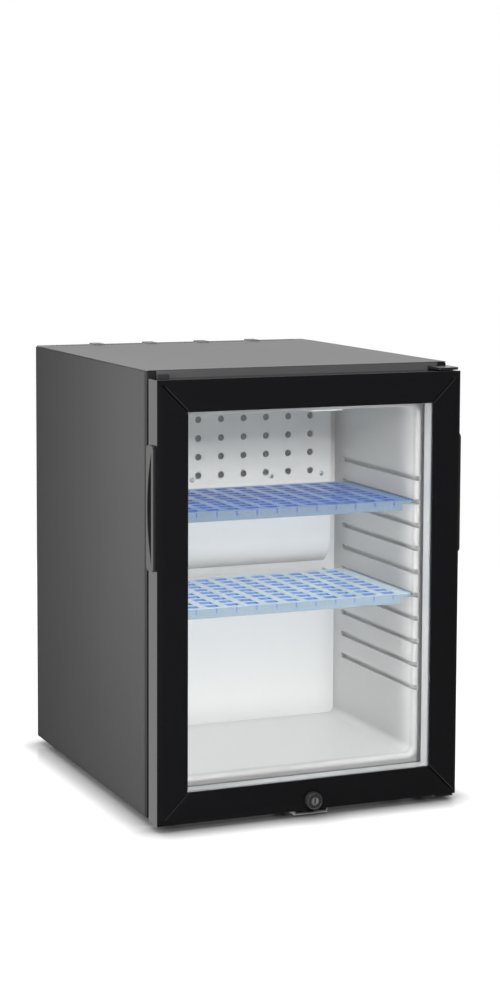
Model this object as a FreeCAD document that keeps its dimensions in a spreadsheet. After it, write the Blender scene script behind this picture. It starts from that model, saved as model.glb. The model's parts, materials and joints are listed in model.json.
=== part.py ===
import FreeCAD, Part
import math
import os
import re
import Sketcher

# Minibar fridge with a glass door. Millimetres, +Z up, the door faces -Y.
# The origin is on the floor, midway across and midway between lock front and cabinet back.

SIZES = {
    # cabinet sheets
    "cabinet_width": 402, "cabinet_depth": 440, "cabinet_height": 546, "foot_height": 10,
    "sheet_wall": 1, "front_return": 12, "rear_return": 10, "skirt_depth": 10,
    "seam_gap": 0.8, "fold_radius": 0.8,
    "rail_height": 18, "overrun": 5,
    # vent comb along the rear of the top, vent slots in the base
    "comb_depth": 26, "comb_wall": 2, "comb_pitch": 77.6, "comb_tab_width": 15, "comb_tab_rise": 1.8,
    "comb_slot_count": 5, "comb_slot_width": 54, "comb_slot_margin": 6,
    "base_slot_count": 7, "base_slot_pitch": 44, "base_slot_width": 8, "base_slot_margin": 26,
    # feet
    "foot_inset": 48, "foot_top_radius": 15, "foot_tip_radius": 13, "foot_recess_radius": 5.5,
    "foot_recess_depth": 4, "foot_head_radius": 4.5, "foot_head_height": 2.5, "foot_shank_radius": 2,
    "screw_clearance": 0.1,
    # insulated box
    "inner_width": 320, "inner_depth": 243, "floor_rise": 46, "ceiling_drop": 56, "liner_wall": 2,
    "back_board": 50, "frame_depth": 12, "mouth_radius": 7, "cavity_radius": 9,
    "runner_count": 10, "runner_pitch": 29.85, "runner_first": 127, "groove_height": 6.5,
    "groove_depth": 5.5, "groove_length": 219,
    # door frame and glazing
    "door_side_proud": 1, "door_top_gap": 9, "door_drop": 1.5, "door_thickness": 31, "door_gap": 8,
    "bar_width": 39, "bar_wall": 2.5, "bar_front_wall": 4.5, "bevel_width": 8, "bevel_drop": 2,
    "glass_lip": 8, "lip_wall": 3, "pane_wall": 4, "spacer_depth": 16, "spacer_width": 8,
    "glass_clearance": 0.5, "key_arm": 55, "key_clearance": 0.2,
    "gasket_inset": 18, "gasket_width": 16, "gasket_clearance": 0.3,
    # finger grips on both door edges
    "grip_length": 151, "grip_centre": 382.8, "grip_front": 5, "grip_width": 24, "grip_proud": 4,
    "grip_corner": 6, "grip_recess_length": 129, "grip_recess_front": 12.5, "grip_recess_sag": 12.5,
    "grip_recess_depth": 16, "grip_wall": 1.6, "grip_clearance": 0.2,
    # hinges
    "hinge_inset": 12, "hinge_setback": 14, "pin_radius": 3, "pin_depth": 12, "bush_wall": 2,
    "bush_length": 14, "running_clearance": 0.05, "press_clearance": 0.05, "washer_wall": 1,
    "washer_radius": 7, "washer_clearance": 0.1, "bracket_wall": 3, "bracket_width": 28,
    "bracket_proud": 2, "bracket_tip": 8, "bracket_leg": 13, "bracket_corner": 5, "bracket_tail": 40,
    "bracket_screw_radius": 2, "bracket_head_radius": 3.5, "bracket_head_height": 0.8,
    "bracket_screw_margin": 6, "bracket_screw_spacing": 9,
    "blank_cap_width": 16, "blank_cap_wall": 2,
    # lock and keeper
    "lock_offset": 2, "lock_rise": 13, "lock_proud": 9, "lock_head_radius": 10.3, "lock_chamfer": 1.5,
    "lock_barrel_radius": 7.5, "lock_clearance": 0.1, "plug_radius": 5,
    "plug_setback": 1, "key_slot_width": 1.6, "key_slot_height": 6.5, "key_slot_depth": 8,
    "cam_length": 16.4, "cam_half_width": 4.5,
    "cam_wall": 2.5, "cam_setback": 1, "cam_hole_radius": 2, "cam_head_radius": 3.4,
    "cam_head_height": 1.5,
    "keeper_width": 45, "keeper_wall": 1.5, "keeper_setback": 4, "keeper_gap": 1, "keeper_drop": 7.5,
    "keeper_catch_gap": 0.5,
    "keeper_tail": 30, "keeper_pad_start": 4, "keeper_screw_spacing": 26,
    # evaporator, its cover and the drip gutter
    "evaporator_width": 236, "evaporator_low": 392, "evaporator_high": 478, "evaporator_wall": 5,
    "evaporator_fin_depth": 12, "evaporator_fin_wall": 2, "evaporator_fin_count": 15,
    "cover_width": 287, "cover_setback": 22, "cover_wall": 1.5, "cover_top_gap": 2, "cover_bend_rise": 290.5,
    "cover_bend_radius": 35, "cover_hole_radius": 4.5, "cover_hole_columns": 8, "cover_hole_rows": 4,
    "cover_hole_across": 32.3, "cover_hole_up": 24.7, "cover_hole_low": 385.3,
    "cover_screw_rise": 380, "cover_screw_near": 57, "cover_screw_far": 130, "cover_screw_radius": 1.5,
    "cover_head_radius": 3.2, "cover_head_height": 1.6, "cover_screw_length": 12, "cover_spacer_radius": 4,
    "gutter_rise": 234, "gutter_height": 14, "gutter_depth": 24, "gutter_wall": 1.5,
    "drain_offset": 60, "drain_radius": 6, "drain_bore": 4, "drain_run": 18, "drain_low": 150,
    "drain_bend": 12, "pipe_clearance": 0.4,
    "cup_width": 64, "cup_depth": 34, "cup_low": 118, "cup_height": 40, "cup_wall": 2,
    # lamp on the ceiling
    "lamp_offset": 74, "lamp_width": 42, "lamp_length": 62, "lamp_setback": 82, "lamp_drop": 10,
    "lamp_base_wall": 3, "lamp_board_wall": 1.6, "lamp_board_margin": 5, "lens_wall": 1.5,
    # shelves
    "shelf_setback": 11, "shelf_length": 200, "shelf_wall": 4, "shelf_side_clearance": 1.2,
    "shelf_lift": 0.1, "shelf_corner": 9, "shelf_lip_height": 12, "shelf_lip_wall": 2.5,
    "shelf_lip_inset": 14, "shelf_slot_width": 16, "shelf_slot_length": 14, "shelf_columns": 11,
    "shelf_rows": 9, "shelf_slot_across": 26.8, "shelf_slot_along": 20.8, "shelf_slot_front": 9,
    "shelf_gusset_wall": 3, "shelf_gusset_depth": 10, "upper_runner": 8, "lower_runner": 4,
    # absorption cooling unit in the open rear space
    "boiler_inset": 38, "boiler_width": 64, "boiler_setback": 30, "boiler_low": 110, "boiler_height": 330,
    "boiler_wall": 1.5, "heater_radius": 7, "heater_length": 150,
    "condenser_radius": 9, "condenser_rise": 506, "condenser_bend": 22,
    "condenser_entry": 100, "condenser_entry_rise": 455,
    "fin_count": 18, "fin_pitch": 9, "fin_side": 46, "fin_wall": 0.8, "fin_clearance": 0.1,
    "vessel_radius": 32, "vessel_left": 150, "vessel_right": 72, "vessel_setback": 62, "vessel_axis": 66,
    "stub_rise": 46, "exchanger_offset": 40, "exchanger_radius": 14,
    "exchanger_setback": 48, "exchanger_rise": 440, "exchanger_bend": 30,
    "coil_radius": 10, "coil_setback": 80, "coil_left": 134, "coil_right": 30, "coil_pass_count": 5,
    "coil_low": 170, "coil_pitch": 44,
    "solution_radius": 6, "solution_bend": 20,
    "unit_bracket_wall": 2, "unit_bracket_height": 24, "unit_bracket_low": 170, "unit_bracket_high": 380,
    "saddle_width": 26, "saddle_left": 110, "saddle_right": 20, "saddle_clearance": 0.3,
    # control box on the right inner wall of the rear space
    "control_width": 34, "control_depth": 80, "control_setback": 50, "control_low": 120,
    "control_height": 120, "control_wall": 2, "inlet_width": 22, "inlet_height": 27, "inlet_rise": 12,
    "inlet_depth": 24, "inlet_recess": 14, "inlet_rim": 3, "inlet_lip": 1.5,
    "knob_rise": 88, "knob_radius": 12, "knob_height": 9, "knob_lift": 0.5, "knob_shaft_radius": 3,
    "knob_shaft_length": 12, "knob_rib_width": 3, "knob_rib_rise": 2,
}

doc = FreeCAD.newDocument("minibar_fridge")
sheet = doc.addObject("Spreadsheet::Sheet", "Sizes")
parts = []

# Places that several pieces share, as formulas over the sheet
HALF = "(cabinet_width / 2)"
UNDER = "foot_height"
ROOF = "(foot_height + cabinet_height)"
SPAN = "(lock_proud + door_thickness + door_gap + cabinet_depth)"
DOOR_Y = f"(lock_proud - {SPAN} / 2)"
DOOR_BACK_Y = f"({DOOR_Y} + door_thickness)"
FRONT_Y = f"({DOOR_BACK_Y} + door_gap)"
REAR_Y = f"({FRONT_Y} + cabinet_depth)"
INSIDE_Y = f"({FRONT_Y} + frame_depth)"
DOOR_WIDTH = "(cabinet_width + 2 * door_side_proud)"
DOOR_HEIGHT = "(cabinet_height + door_drop - door_top_gap)"
DOOR_HALF = f"({DOOR_WIDTH} / 2)"
DOOR_LOW = "(foot_height - door_drop)"
DOOR_HIGH = f"({DOOR_LOW} + {DOOR_HEIGHT})"
CAVITY_HALF = "(inner_width / 2)"
FLOOR_Z = "(foot_height + floor_rise)"
CEILING_Z = f"({ROOF} - ceiling_drop)"
BACK_Y = f"({FRONT_Y} + inner_depth)"
BULKHEAD_Y = f"({BACK_Y} + liner_wall + back_board)"
MACHINE_Y = f"({BULKHEAD_Y} + sheet_wall)"
CHANNEL_HALF = f"({CAVITY_HALF} + liner_wall + groove_depth)"
COVER_Y = f"({BACK_Y} - cover_setback)"
RAIL_LOW = f"({ROOF} - sheet_wall - rail_height)"
HINGE_X = f"({DOOR_HALF} - hinge_inset)"
HINGE_Y = f"({DOOR_Y} + hinge_setback)"
LOCK_Z = f"({DOOR_LOW} + lock_rise)"
BUSH_RADIUS = "(pin_radius + running_clearance + bush_wall)"
SCREW_HOLE = "(bracket_screw_radius + screw_clearance)"
PANE_HALF = f"({DOOR_HALF} - bar_width + glass_lip - glass_clearance)"
PANE_LOW = f"({DOOR_LOW} + bar_width - glass_lip + glass_clearance)"
PANE_HIGH = f"({DOOR_HIGH} - bar_width + glass_lip - glass_clearance)"
BRACKET_RIGHT = f"({HALF} + bracket_proud)"
BRACKET_LEFT = f"({BRACKET_RIGHT} - bracket_width)"
TOP_ARM_Z = f"({DOOR_HIGH} + washer_wall)"
BOTTOM_ARM_Z = f"({DOOR_LOW} - washer_wall - bracket_wall)"
KEEPER_LOW = f"({UNDER} - keeper_drop)"
CAM_Y = f"({DOOR_BACK_Y} + cam_setback)"
BUSH_SEAT = f"({BUSH_RADIUS} + press_clearance)"
BUSH_LOWS = {"low": DOOR_LOW, "high": f"({DOOR_HIGH} - bush_length)"}
PIN_SEAT = "(pin_radius + press_clearance)"
TOP_LEG_Z = f"({TOP_ARM_Z} + bracket_wall - bracket_leg)"
TOP_SCREW_Z = f"({TOP_LEG_Z} + bracket_screw_margin)"
GRIP_Z = "(grip_centre + foot_height)"
GRIP_CUP_HALF = "(grip_recess_length / 2 + grip_wall)"
GRIP_CUP_YS = ("grip_recess_front - grip_wall", "grip_recess_front + grip_recess_sag + grip_wall")
GRIP_ROUND = "(((grip_recess_length / 2) ^ 2 + grip_recess_sag ^ 2) / (2 * grip_recess_sag))"
COVER_SCREW_HOLE = "(cover_screw_radius + screw_clearance)"
DRAIN_Z = "(foot_height + gutter_rise + gutter_wall + drain_radius)"
SHELF_HALF = f"({CAVITY_HALF} + groove_depth - shelf_side_clearance)"
SHELF_FIRST = "(-(shelf_columns - 1) / 2 * shelf_slot_across)"
BOILER_RIGHT = f"({HALF} - boiler_inset)"
BOILER_LEFT = f"({BOILER_RIGHT} - boiler_width)"
BOILER_X = f"({BOILER_LEFT} + boiler_width / 2)"
BOILER_FRONT = f"({MACHINE_Y} + boiler_setback)"
BOILER_Y = f"({BOILER_FRONT} + boiler_width / 2)"
BOILER_TOP = "(boiler_low + boiler_height)"
CONDENSER_Z = "(foot_height + condenser_rise)"
VESSEL_Y = f"({MACHINE_Y} + vessel_setback)"
STUB_TOP = "(vessel_axis + stub_rise)"
EXCHANGER_Y = f"({MACHINE_Y} + exchanger_setback)"
COIL_Y = f"({MACHINE_Y} + coil_setback)"
CONTROL_XS = (f"{HALF} - sheet_wall - control_width", f"{HALF} - sheet_wall")
CONTROL_X = f"({HALF} - sheet_wall - control_width / 2)"
CONTROL_FRONT = f"({MACHINE_Y} + control_setback)"
CONTROL_BACK = f"({CONTROL_FRONT} + control_depth)"
KNOB_Z = "(control_low + knob_rise)"
INLET_XS = (f"{CONTROL_X} - inlet_width / 2", f"{CONTROL_X} + inlet_width / 2")
INLET_ZS = ("control_low + inlet_rise", "control_low + inlet_rise + inlet_height")

# Section of a door bar: across from the outer edge, back from the front face
BAR_SECTION = [
    ("0", "bevel_drop"), ("bevel_width", "0"), ("bar_width", "0"), ("bar_width", "lip_wall"),
    ("bar_width - glass_lip", "lip_wall"), ("bar_width - glass_lip", "door_thickness"),
    ("0", "door_thickness"),
]
CHAMBER = (("bar_wall", "bar_front_wall"), ("bar_width - glass_lip - bar_wall", "door_thickness - bar_wall"))
UPPER_PIPES = {"gas": "exchanger_offset", "liquid": "-condenser_entry"}

# How a piece that is made standing up is turned to lie along an axis
LAID_ALONG = {
    "X": FreeCAD.Rotation(FreeCAD.Vector(0, 1, 0), 90),
    "Y": FreeCAD.Rotation(FreeCAD.Vector(1, 0, 0), -90),
    "Z": FreeCAD.Rotation(),
}


def fill_sheet():
    """Write every driving size to its own named cell."""
    for row, (name, value) in enumerate(SIZES.items(), start=1):
        sheet.set(f"A{row}", name)
        sheet.set(f"B{row}", str(value))
        sheet.setAlias(f"B{row}", name)
    doc.recompute()


def on_sheet(text):
    """The formula with each size's name pointing at its cell."""
    def cell(word):
        return f"Sizes.{word.group()}" if word.group() in SIZES else word.group()
    return re.sub(r"[a-z][a-z_]+", cell, text)


def number(text):
    """What a formula over the sheet comes to."""
    return float(sheet.evalExpression(on_sheet(text)))


def count_of(text):
    """What a formula over the sheet comes to, as a whole number."""
    return int(number(text))


def bind(thing, prop, text):
    """Tie one property to a formula over the sheet."""
    thing.setExpression(prop, on_sheet(text))


def place(thing, spot, rotation=None):
    """Put a piece at a spot, three formulas, turned by a fixed rotation."""
    if rotation is not None:
        thing.Placement = FreeCAD.Placement(FreeCAD.Vector(), rotation)
    for letter, text in zip("xyz", spot):
        bind(thing, f"Placement.Base.{letter}", text)
    return thing


def span(side, near, far):
    """Low and high formula of a stretch that lies on the left (-1) or right (+1) of the middle."""
    return (near, far) if side > 0 else (f"-({far})", f"-({near})")


def about(middle, width):
    """Low and high formula of a stretch of one width about a middle."""
    return f"{middle} - ({width}) / 2", f"{middle} + ({width}) / 2"


def inset(stretch, wall):
    """A stretch drawn in at both ends by one wall."""
    return f"{stretch[0]} + {wall}", f"{stretch[1]} - ({wall})"


def outset(stretch, margin="overrun"):
    """A stretch that runs past both ends by one margin."""
    return f"{stretch[0]} - ({margin})", f"{stretch[1]} + {margin}"


def centred(index, count, pitch):
    """Place of one item of a row that is centred on zero."""
    return f"({index} - ({count} - 1) / 2) * {pitch}"


def block(name, xs, ys, zs):
    """A box between two values on each axis."""
    box = doc.addObject("Part::Box", name)
    for edge, (low, high) in zip(("Length", "Width", "Height"), (xs, ys, zs)):
        bind(box, edge, f"({high}) - ({low})")
    return place(box, (xs[0], ys[0], zs[0]))


def rod(name, radius, start, length, along):
    """A round bar from a start point along one axis."""
    bar = doc.addObject("Part::Cylinder", name)
    bind(bar, "Radius", radius)
    bind(bar, "Height", length)
    return place(bar, start, LAID_ALONG[along])


def bore(name, radius, start, depth, along):
    """A round cutter for a hole of one depth from a start point, running past both its ends."""
    entry = [f"{text} - overrun" if letter == along else text for letter, text in zip("XYZ", start)]
    return rod(name, radius, entry, f"{depth} + 2 * overrun", along)


def fuse(name, pieces):
    """One solid from several that touch or overlap."""
    joined = doc.addObject("Part::MultiFuse", name)
    joined.Shapes = pieces
    joined.Refine = True
    return joined


def group(name, pieces):
    """Several separate solids under one name."""
    bundle = doc.addObject("Part::Compound", name)
    bundle.Links = pieces
    return bundle


def cut(name, base, tools):
    """A solid with one or more others taken away."""
    result = doc.addObject("Part::Cut", name)
    result.Base = base
    result.Tool = tools[0] if len(tools) == 1 else group(f"{name}_tools", tools)
    result.Refine = True
    return result


def keep(thing, label):
    """Name a finished sub-part and put it on the list that is written out."""
    thing.Label = label
    parts.append(thing)
    return thing


def new_body(label):
    """An empty body that will become one sub-part."""
    return doc.addObject("PartDesign::Body", f"{label}_body")


def hold(sketch, kind, line, text):
    """Hold one coordinate of a line's first end at a formula's value."""
    at = sketch.addConstraint(Sketcher.Constraint(kind, -1, 1, line, 1, number(text)))
    sketch.setExpression(f"Constraints[{at}]", on_sheet(text))


def outline(body, name, plane, rings):
    """A sketch of closed straight-edged rings, each corner a pair of formulas."""
    sketch = body.newObject("Sketcher::SketchObject", name)
    support = [feature for feature in body.Origin.OriginFeatures if feature.Role == plane][0]
    sketch.AttachmentSupport = [(support, "")]
    sketch.MapMode = "FlatFace"
    for ring in rings:
        first = sketch.GeometryCount
        corners = [FreeCAD.Vector(number(across), number(up), 0) for across, up in ring]
        for start, end in zip(corners, corners[1:] + corners[:1]):
            sketch.addGeometry(Part.LineSegment(start, end))
        for index, (across, up) in enumerate(ring):
            following = first + (index + 1) % len(ring)
            sketch.addConstraint(Sketcher.Constraint("Coincident", first + index, 2, following, 1))
            hold(sketch, "DistanceX", first + index, across)
            hold(sketch, "DistanceY", first + index, up)
    return sketch


def round_hole(body, name, plane, centre, radius):
    """A sketch of one circle whose centre and radius are formulas."""
    sketch = outline(body, name, plane, [])
    middle = FreeCAD.Vector(number(centre[0]), number(centre[1]), 0)
    sketch.addGeometry(Part.Circle(middle, FreeCAD.Vector(0, 0, 1), number(radius)))
    for kind, text in (("DistanceX", centre[0]), ("DistanceY", centre[1])):
        at = sketch.addConstraint(Sketcher.Constraint(kind, -1, 1, 0, 3, number(text)))
        sketch.setExpression(f"Constraints[{at}]", on_sheet(text))
    at = sketch.addConstraint(Sketcher.Constraint("Radius", 0, number(radius)))
    sketch.setExpression(f"Constraints[{at}]", on_sheet(radius))
    return sketch


def rectangle(low, high):
    """The four corners between two corners, each a pair of formulas."""
    return [(low[0], low[1]), (high[0], low[1]), (high[0], high[1]), (low[0], high[1])]


def level_ring(body, name, xs, ys):
    """A level sketch of one rectangle."""
    return outline(body, name, "XY_Plane", [rectangle((xs[0], ys[0]), (xs[1], ys[1]))])


def pad(body, sketch, length, backwards=False):
    """Raise a sketch into a solid, against the sketch's own facing if told so."""
    feature = body.newObject("PartDesign::Pad", f"{sketch.Name}_pad")
    feature.Profile = sketch
    feature.Reversed = backwards
    bind(feature, "Length", length)
    doc.recompute()
    return feature


def pocket(body, sketch, depth, backwards=False):
    """Sink a sketch into the solid, and stop if nothing was cut."""
    before = body.Shape.Volume
    feature = body.newObject("PartDesign::Pocket", f"{sketch.Name}_pocket")
    feature.Profile = sketch
    feature.Reversed = backwards
    bind(feature, "Length", depth)
    doc.recompute()
    if body.Shape.Volume >= before:
        raise ValueError(f"{feature.Name} cut nothing")
    return feature


def repeat(body, feature, sketch, axis, pitch, count):
    """A row of a feature along one axis of its sketch."""
    row = body.newObject("PartDesign::LinearPattern", f"{feature.Name}_row_{axis[0]}")
    row.Originals = [feature]
    row.Direction = (sketch, [axis])
    bind(row, "Length", f"({pitch}) * ({count} - 1)")
    bind(row, "Occurrences", count)
    body.Tip = row
    doc.recompute()
    return row


def soften(body, name, radius, wanted, along="XYZ"):
    """Round the edges that run along one of the given axes and whose end points all pass a test."""
    base = body.Tip
    edges = []
    for index, edge in enumerate(base.Shape.Edges, start=1):
        ends = [vertex.Point for vertex in edge.Vertexes]
        run = ends[-1] - ends[0]
        axis = max("XYZ", key=lambda letter: abs(getattr(run, letter.lower())))
        if axis in along and all(wanted(end) for end in ends):
            edges.append(f"Edge{index}")
    feature = body.newObject("PartDesign::Fillet", name)
    feature.Base = (base, edges)
    bind(feature, "Radius", radius)
    doc.recompute()
    return feature


def near(value, text):
    """True where a coordinate lies on a formula's value."""
    return abs(value - number(text)) < number("running_clearance")


def bent_path(points, bend):
    """A wire through the points with every corner rounded to one bend radius."""
    edges = []
    start = points[0]
    for before, corner, after in zip(points, points[1:], points[2:]):
        back = (before - corner).normalize()
        onward = (after - corner).normalize()
        half_turn = (math.pi - back.getAngle(onward)) / 2
        reach = bend * math.tan(half_turn)
        centre = corner + (back + onward).normalize() * (bend / math.cos(half_turn))
        entry = corner + back * reach
        leave = corner + onward * reach
        middle = centre + (corner - centre).normalize() * bend
        edges.append(Part.LineSegment(start, entry).toShape())
        edges.append(Part.Arc(entry, middle, leave).toShape())
        start = leave
    edges.append(Part.LineSegment(start, points[-1]).toShape())
    return Part.Wire(edges)


def pipe(name, spots, radius, bend):
    """A bent round pipe through the spots, each three formulas, with flat ends."""
    points = [FreeCAD.Vector(*(number(text) for text in spot)) for spot in spots]
    path = bent_path(points, number(bend))
    ring = Part.Circle(points[0], points[1] - points[0], number(radius)).toShape()
    tube = doc.addObject("Part::Feature", name)
    tube.Shape = path.makePipeShell([Part.Wire([ring])], True, False)
    tube.Placement = FreeCAD.Placement()
    return tube


def runner_low(index):
    """Lower face of one shelf groove, counted from the floor up."""
    return f"(foot_height + runner_first + runner_pitch * ({index}))"


def side_panel(side, label):
    """Folded steel side sheet with a front and a rear return, ending at a seam below the top sheet."""
    body = new_body(label)
    inner = "sheet_wall"
    section = [
        (f"{side} * {HALF}", FRONT_Y),
        (f"{side} * {HALF}", REAR_Y),
        (f"{side} * ({HALF} - rear_return)", REAR_Y),
        (f"{side} * ({HALF} - rear_return)", f"{REAR_Y} - {inner}"),
        (f"{side} * ({HALF} - {inner})", f"{REAR_Y} - {inner}"),
        (f"{side} * ({HALF} - {inner})", f"{FRONT_Y} + {inner}"),
        (f"{side} * ({HALF} - front_return)", f"{FRONT_Y} + {inner}"),
        (f"{side} * ({HALF} - front_return)", FRONT_Y),
    ]
    sketch = outline(body, f"{label}_section", "XY_Plane", [section])
    pad(body, sketch, "cabinet_height - sheet_wall - seam_gap")
    soften(body, f"{label}_folds", "fold_radius", lambda spot: near(spot.x, f"{side} * {HALF}"), "Z")
    keep(place(body, ("0", "0", UNDER)), label)


def skirts(name, ys, zs):
    """The two folded edges of a sheet that sit against the side sheets."""
    xs = f"{HALF} - 2 * sheet_wall", f"{HALF} - sheet_wall"
    return [block(f"{name}_{word}", span(side, *xs), ys, zs) for side, word in ((-1, "left"), (1, "right"))]


def top_panel():
    """Steel top sheet with two folded skirts, ending at the vent comb."""
    ys = f"{FRONT_Y} + sheet_wall", f"{REAR_Y} - comb_depth"
    flat = block("top_flat", (f"-{HALF}", HALF), (FRONT_Y, ys[1]), (f"{ROOF} - sheet_wall", ROOF))
    folds = skirts("top_skirt", ys, (f"{ROOF} - sheet_wall - skirt_depth", f"{ROOF} - sheet_wall"))
    keep(fuse("top_sheet", [flat, *folds]), "top_panel")


def top_front_rail():
    """Plastic strip that fills the front above the door."""
    xs = f"-({HALF} - front_return)", f"{HALF} - front_return"
    keep(block("rail", xs, (FRONT_Y, INSIDE_Y), (RAIL_LOW, f"{ROOF} - sheet_wall")), "top_front_rail")


def foot_spots():
    """Middle of each of the four feet."""
    across = f"{HALF} - foot_inset"
    ys = f"{FRONT_Y} + foot_inset", f"{REAR_Y} - foot_inset"
    return [(x, y) for x in (f"-({across})", across) for y in ys]


def base_plate():
    """Steel floor sheet with folded skirts, screw holes and air slots below the machine space."""
    xs = f"-({HALF} - sheet_wall)", f"{HALF} - sheet_wall"
    ys = f"{FRONT_Y} + sheet_wall", f"{REAR_Y} - sheet_wall"
    zs = UNDER, f"{UNDER} + sheet_wall"
    flat = block("base_flat", xs, ys, zs)
    folds = skirts("base_skirt", ys, (zs[1], f"{zs[1]} + skirt_depth"))
    spots = [("foot_shank_radius + screw_clearance", spot) for spot in foot_spots()]
    spots += [(SCREW_HOLE, spot) for spot in under_screw_spots()]
    tools = [
        bore(f"base_hole_{index}", radius, (x, y, UNDER), "sheet_wall", "Z")
        for index, (radius, (x, y)) in enumerate(spots)
    ]
    slot_ys = f"{MACHINE_Y} + base_slot_margin", f"{REAR_Y} - base_slot_margin"
    for index in range(count_of("base_slot_count")):
        slot_xs = about(centred(index, "base_slot_count", "base_slot_pitch"), "base_slot_width")
        tools.append(block(f"base_slot_{index}", slot_xs, slot_ys, outset(zs)))
    keep(cut("base_sheet", fuse("base_tray", [flat, *folds]), tools), "base_plate")


def upper_pipe_holes(name, low_y, high_y):
    """Clearance holes for the two pipes that run to the evaporator, and for the drain."""
    spots = (
        (UPPER_PIPES["gas"], "foot_height + exchanger_rise", "exchanger_radius"),
        (UPPER_PIPES["liquid"], "foot_height + condenser_entry_rise", "condenser_radius"),
        ("-drain_offset", DRAIN_Z, "drain_radius"),
    )
    length = f"({high_y}) - ({low_y})"
    return [
        rod(f"{name}_hole_{index}", f"{radius} + pipe_clearance", (x, low_y, z), length, "Y")
        for index, (x, z, radius) in enumerate(spots)
    ]


def rear_bulkhead():
    """Steel sheet behind the insulation, with the pipe holes."""
    xs = f"-({HALF} - 2 * sheet_wall)", f"{HALF} - 2 * sheet_wall"
    zs = f"{UNDER} + sheet_wall", f"{ROOF} - sheet_wall"
    plate = block("bulkhead_plate", xs, (BULKHEAD_Y, MACHINE_Y), zs)
    holes = upper_pipe_holes("bulkhead", f"{BULKHEAD_Y} - overrun", f"{MACHINE_Y} + overrun")
    keep(cut("bulkhead", plate, holes), "rear_bulkhead")


def side_board(side, word, ys, zs):
    """Foam board behind one side wall of the liner, recessed round the groove channels."""
    wall = f"{CAVITY_HALF} + liner_wall"
    board = block(f"{word}_board", span(side, wall, f"{HALF} - 2 * sheet_wall"), ys, zs)
    channels = []
    for index in range(count_of("runner_count")):
        low = runner_low(index)
        channels.append(block(
            f"{word}_channel_{index}", span(side, f"{wall} - overrun", CHANNEL_HALF),
            (f"{ys[0]} - overrun", f"{FRONT_Y} + groove_length + liner_wall"),
            outset((low, f"{low} + groove_height"), "liner_wall"),
        ))
    return cut(f"{word}_board_grooved", board, channels)


def insulation_boards():
    """Five rigid foam boards: two sides, top, bottom and back."""
    ys = INSIDE_Y, BULKHEAD_Y
    full = f"{UNDER} + sheet_wall", f"{ROOF} - sheet_wall"
    middle = f"-({CAVITY_HALF} + liner_wall)", f"{CAVITY_HALF} + liner_wall"
    roof_zs = f"{CEILING_Z} + liner_wall", full[1]
    floor_zs = full[0], f"{FLOOR_Z} - liner_wall"
    back = block("back_board", middle, (f"{BACK_Y} + liner_wall", BULKHEAD_Y), (floor_zs[1], roof_zs[0]))
    holes = upper_pipe_holes("board", f"{BACK_Y} - overrun", f"{MACHINE_Y} + overrun")
    boards = [
        side_board(-1, "left", ys, full),
        side_board(1, "right", ys, full),
        block("top_board", middle, ys, roof_zs),
        block("bottom_board", middle, ys, floor_zs),
        cut("back_board_bored", back, holes),
    ]
    keep(group("boards", boards), "insulation_boards")


def groove_ring(grow):
    """Outline of one shelf groove across both side walls, larger all round by one value."""
    half = f"{CAVITY_HALF} + groove_depth + {grow}"
    low = runner_low("0")
    return rectangle((f"-({half})", f"{low} - {grow}"), (half, f"{low} + groove_height + {grow}"))


def at_mouth_corner(spot):
    """True for a point on one of the four corners of the mouth, seen from the front."""
    return near(abs(spot.x), CAVITY_HALF) and (near(spot.z, FLOOR_Z) or near(spot.z, CEILING_Z))


def cut_grooves(body, name, depth):
    """The row of shelf grooves in both side walls at once."""
    sketch = outline(body, f"{name}_groove", "XZ_Plane", [groove_ring("0")])
    groove = pocket(body, sketch, depth)
    repeat(body, groove, sketch, "V_Axis", "runner_pitch", "runner_count")


def inner_liner():
    """White liner: a thin-walled box whose side walls are formed outwards into shelf grooves."""
    body = new_body("inner_liner")
    wall = "liner_wall"
    outer = rectangle((f"-({CAVITY_HALF} + {wall})", f"{FLOOR_Z} - {wall}"),
                      (f"{CAVITY_HALF} + {wall}", f"{CEILING_Z} + {wall}"))
    pad(body, outline(body, "liner_outer", "XZ_Plane", [outer]), f"inner_depth - frame_depth + {wall}", True)
    channel = outline(body, "liner_channel", "XZ_Plane", [groove_ring(wall)])
    channels = pad(body, channel, f"groove_length - frame_depth + {wall}", True)
    repeat(body, channels, channel, "V_Axis", "runner_pitch", "runner_count")
    cavity = rectangle((f"-{CAVITY_HALF}", FLOOR_Z), (CAVITY_HALF, CEILING_Z))
    pocket(body, outline(body, "liner_cavity", "XZ_Plane", [cavity]), "inner_depth - frame_depth")
    soften(body, "liner_corners", "cavity_radius", at_mouth_corner, "Y")
    cut_grooves(body, "liner", "groove_length - frame_depth")
    holes = upper_pipe_holes("liner", f"{BACK_Y} - overrun", f"{BACK_Y} + liner_wall + overrun")
    place(body, ("0", INSIDE_Y, "0"))
    keep(cut("liner", body, holes), "inner_liner")


def front_frame():
    """Plastic frame round the mouth, rounded inwards, with the grooves running out through it."""
    body = new_body("front_frame")
    half = f"{HALF} - front_return"
    outer = rectangle((f"-({half})", f"{UNDER} + sheet_wall"), (half, RAIL_LOW))
    mouth = rectangle((f"-{CAVITY_HALF}", FLOOR_Z), (CAVITY_HALF, CEILING_Z))
    pad(body, outline(body, "frame_outer", "XZ_Plane", [outer, mouth]), "frame_depth", True)
    soften(body, "frame_corners", "cavity_radius", at_mouth_corner, "Y")
    inside = number(f"{CAVITY_HALF} + running_clearance")
    soften(body, "frame_mouth", "mouth_radius", lambda spot: near(spot.y, "0") and abs(spot.x) < inside)
    cut_grooves(body, "frame", "frame_depth")
    keep(place(body, ("0", FRONT_Y, "0")), "front_frame")


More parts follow.
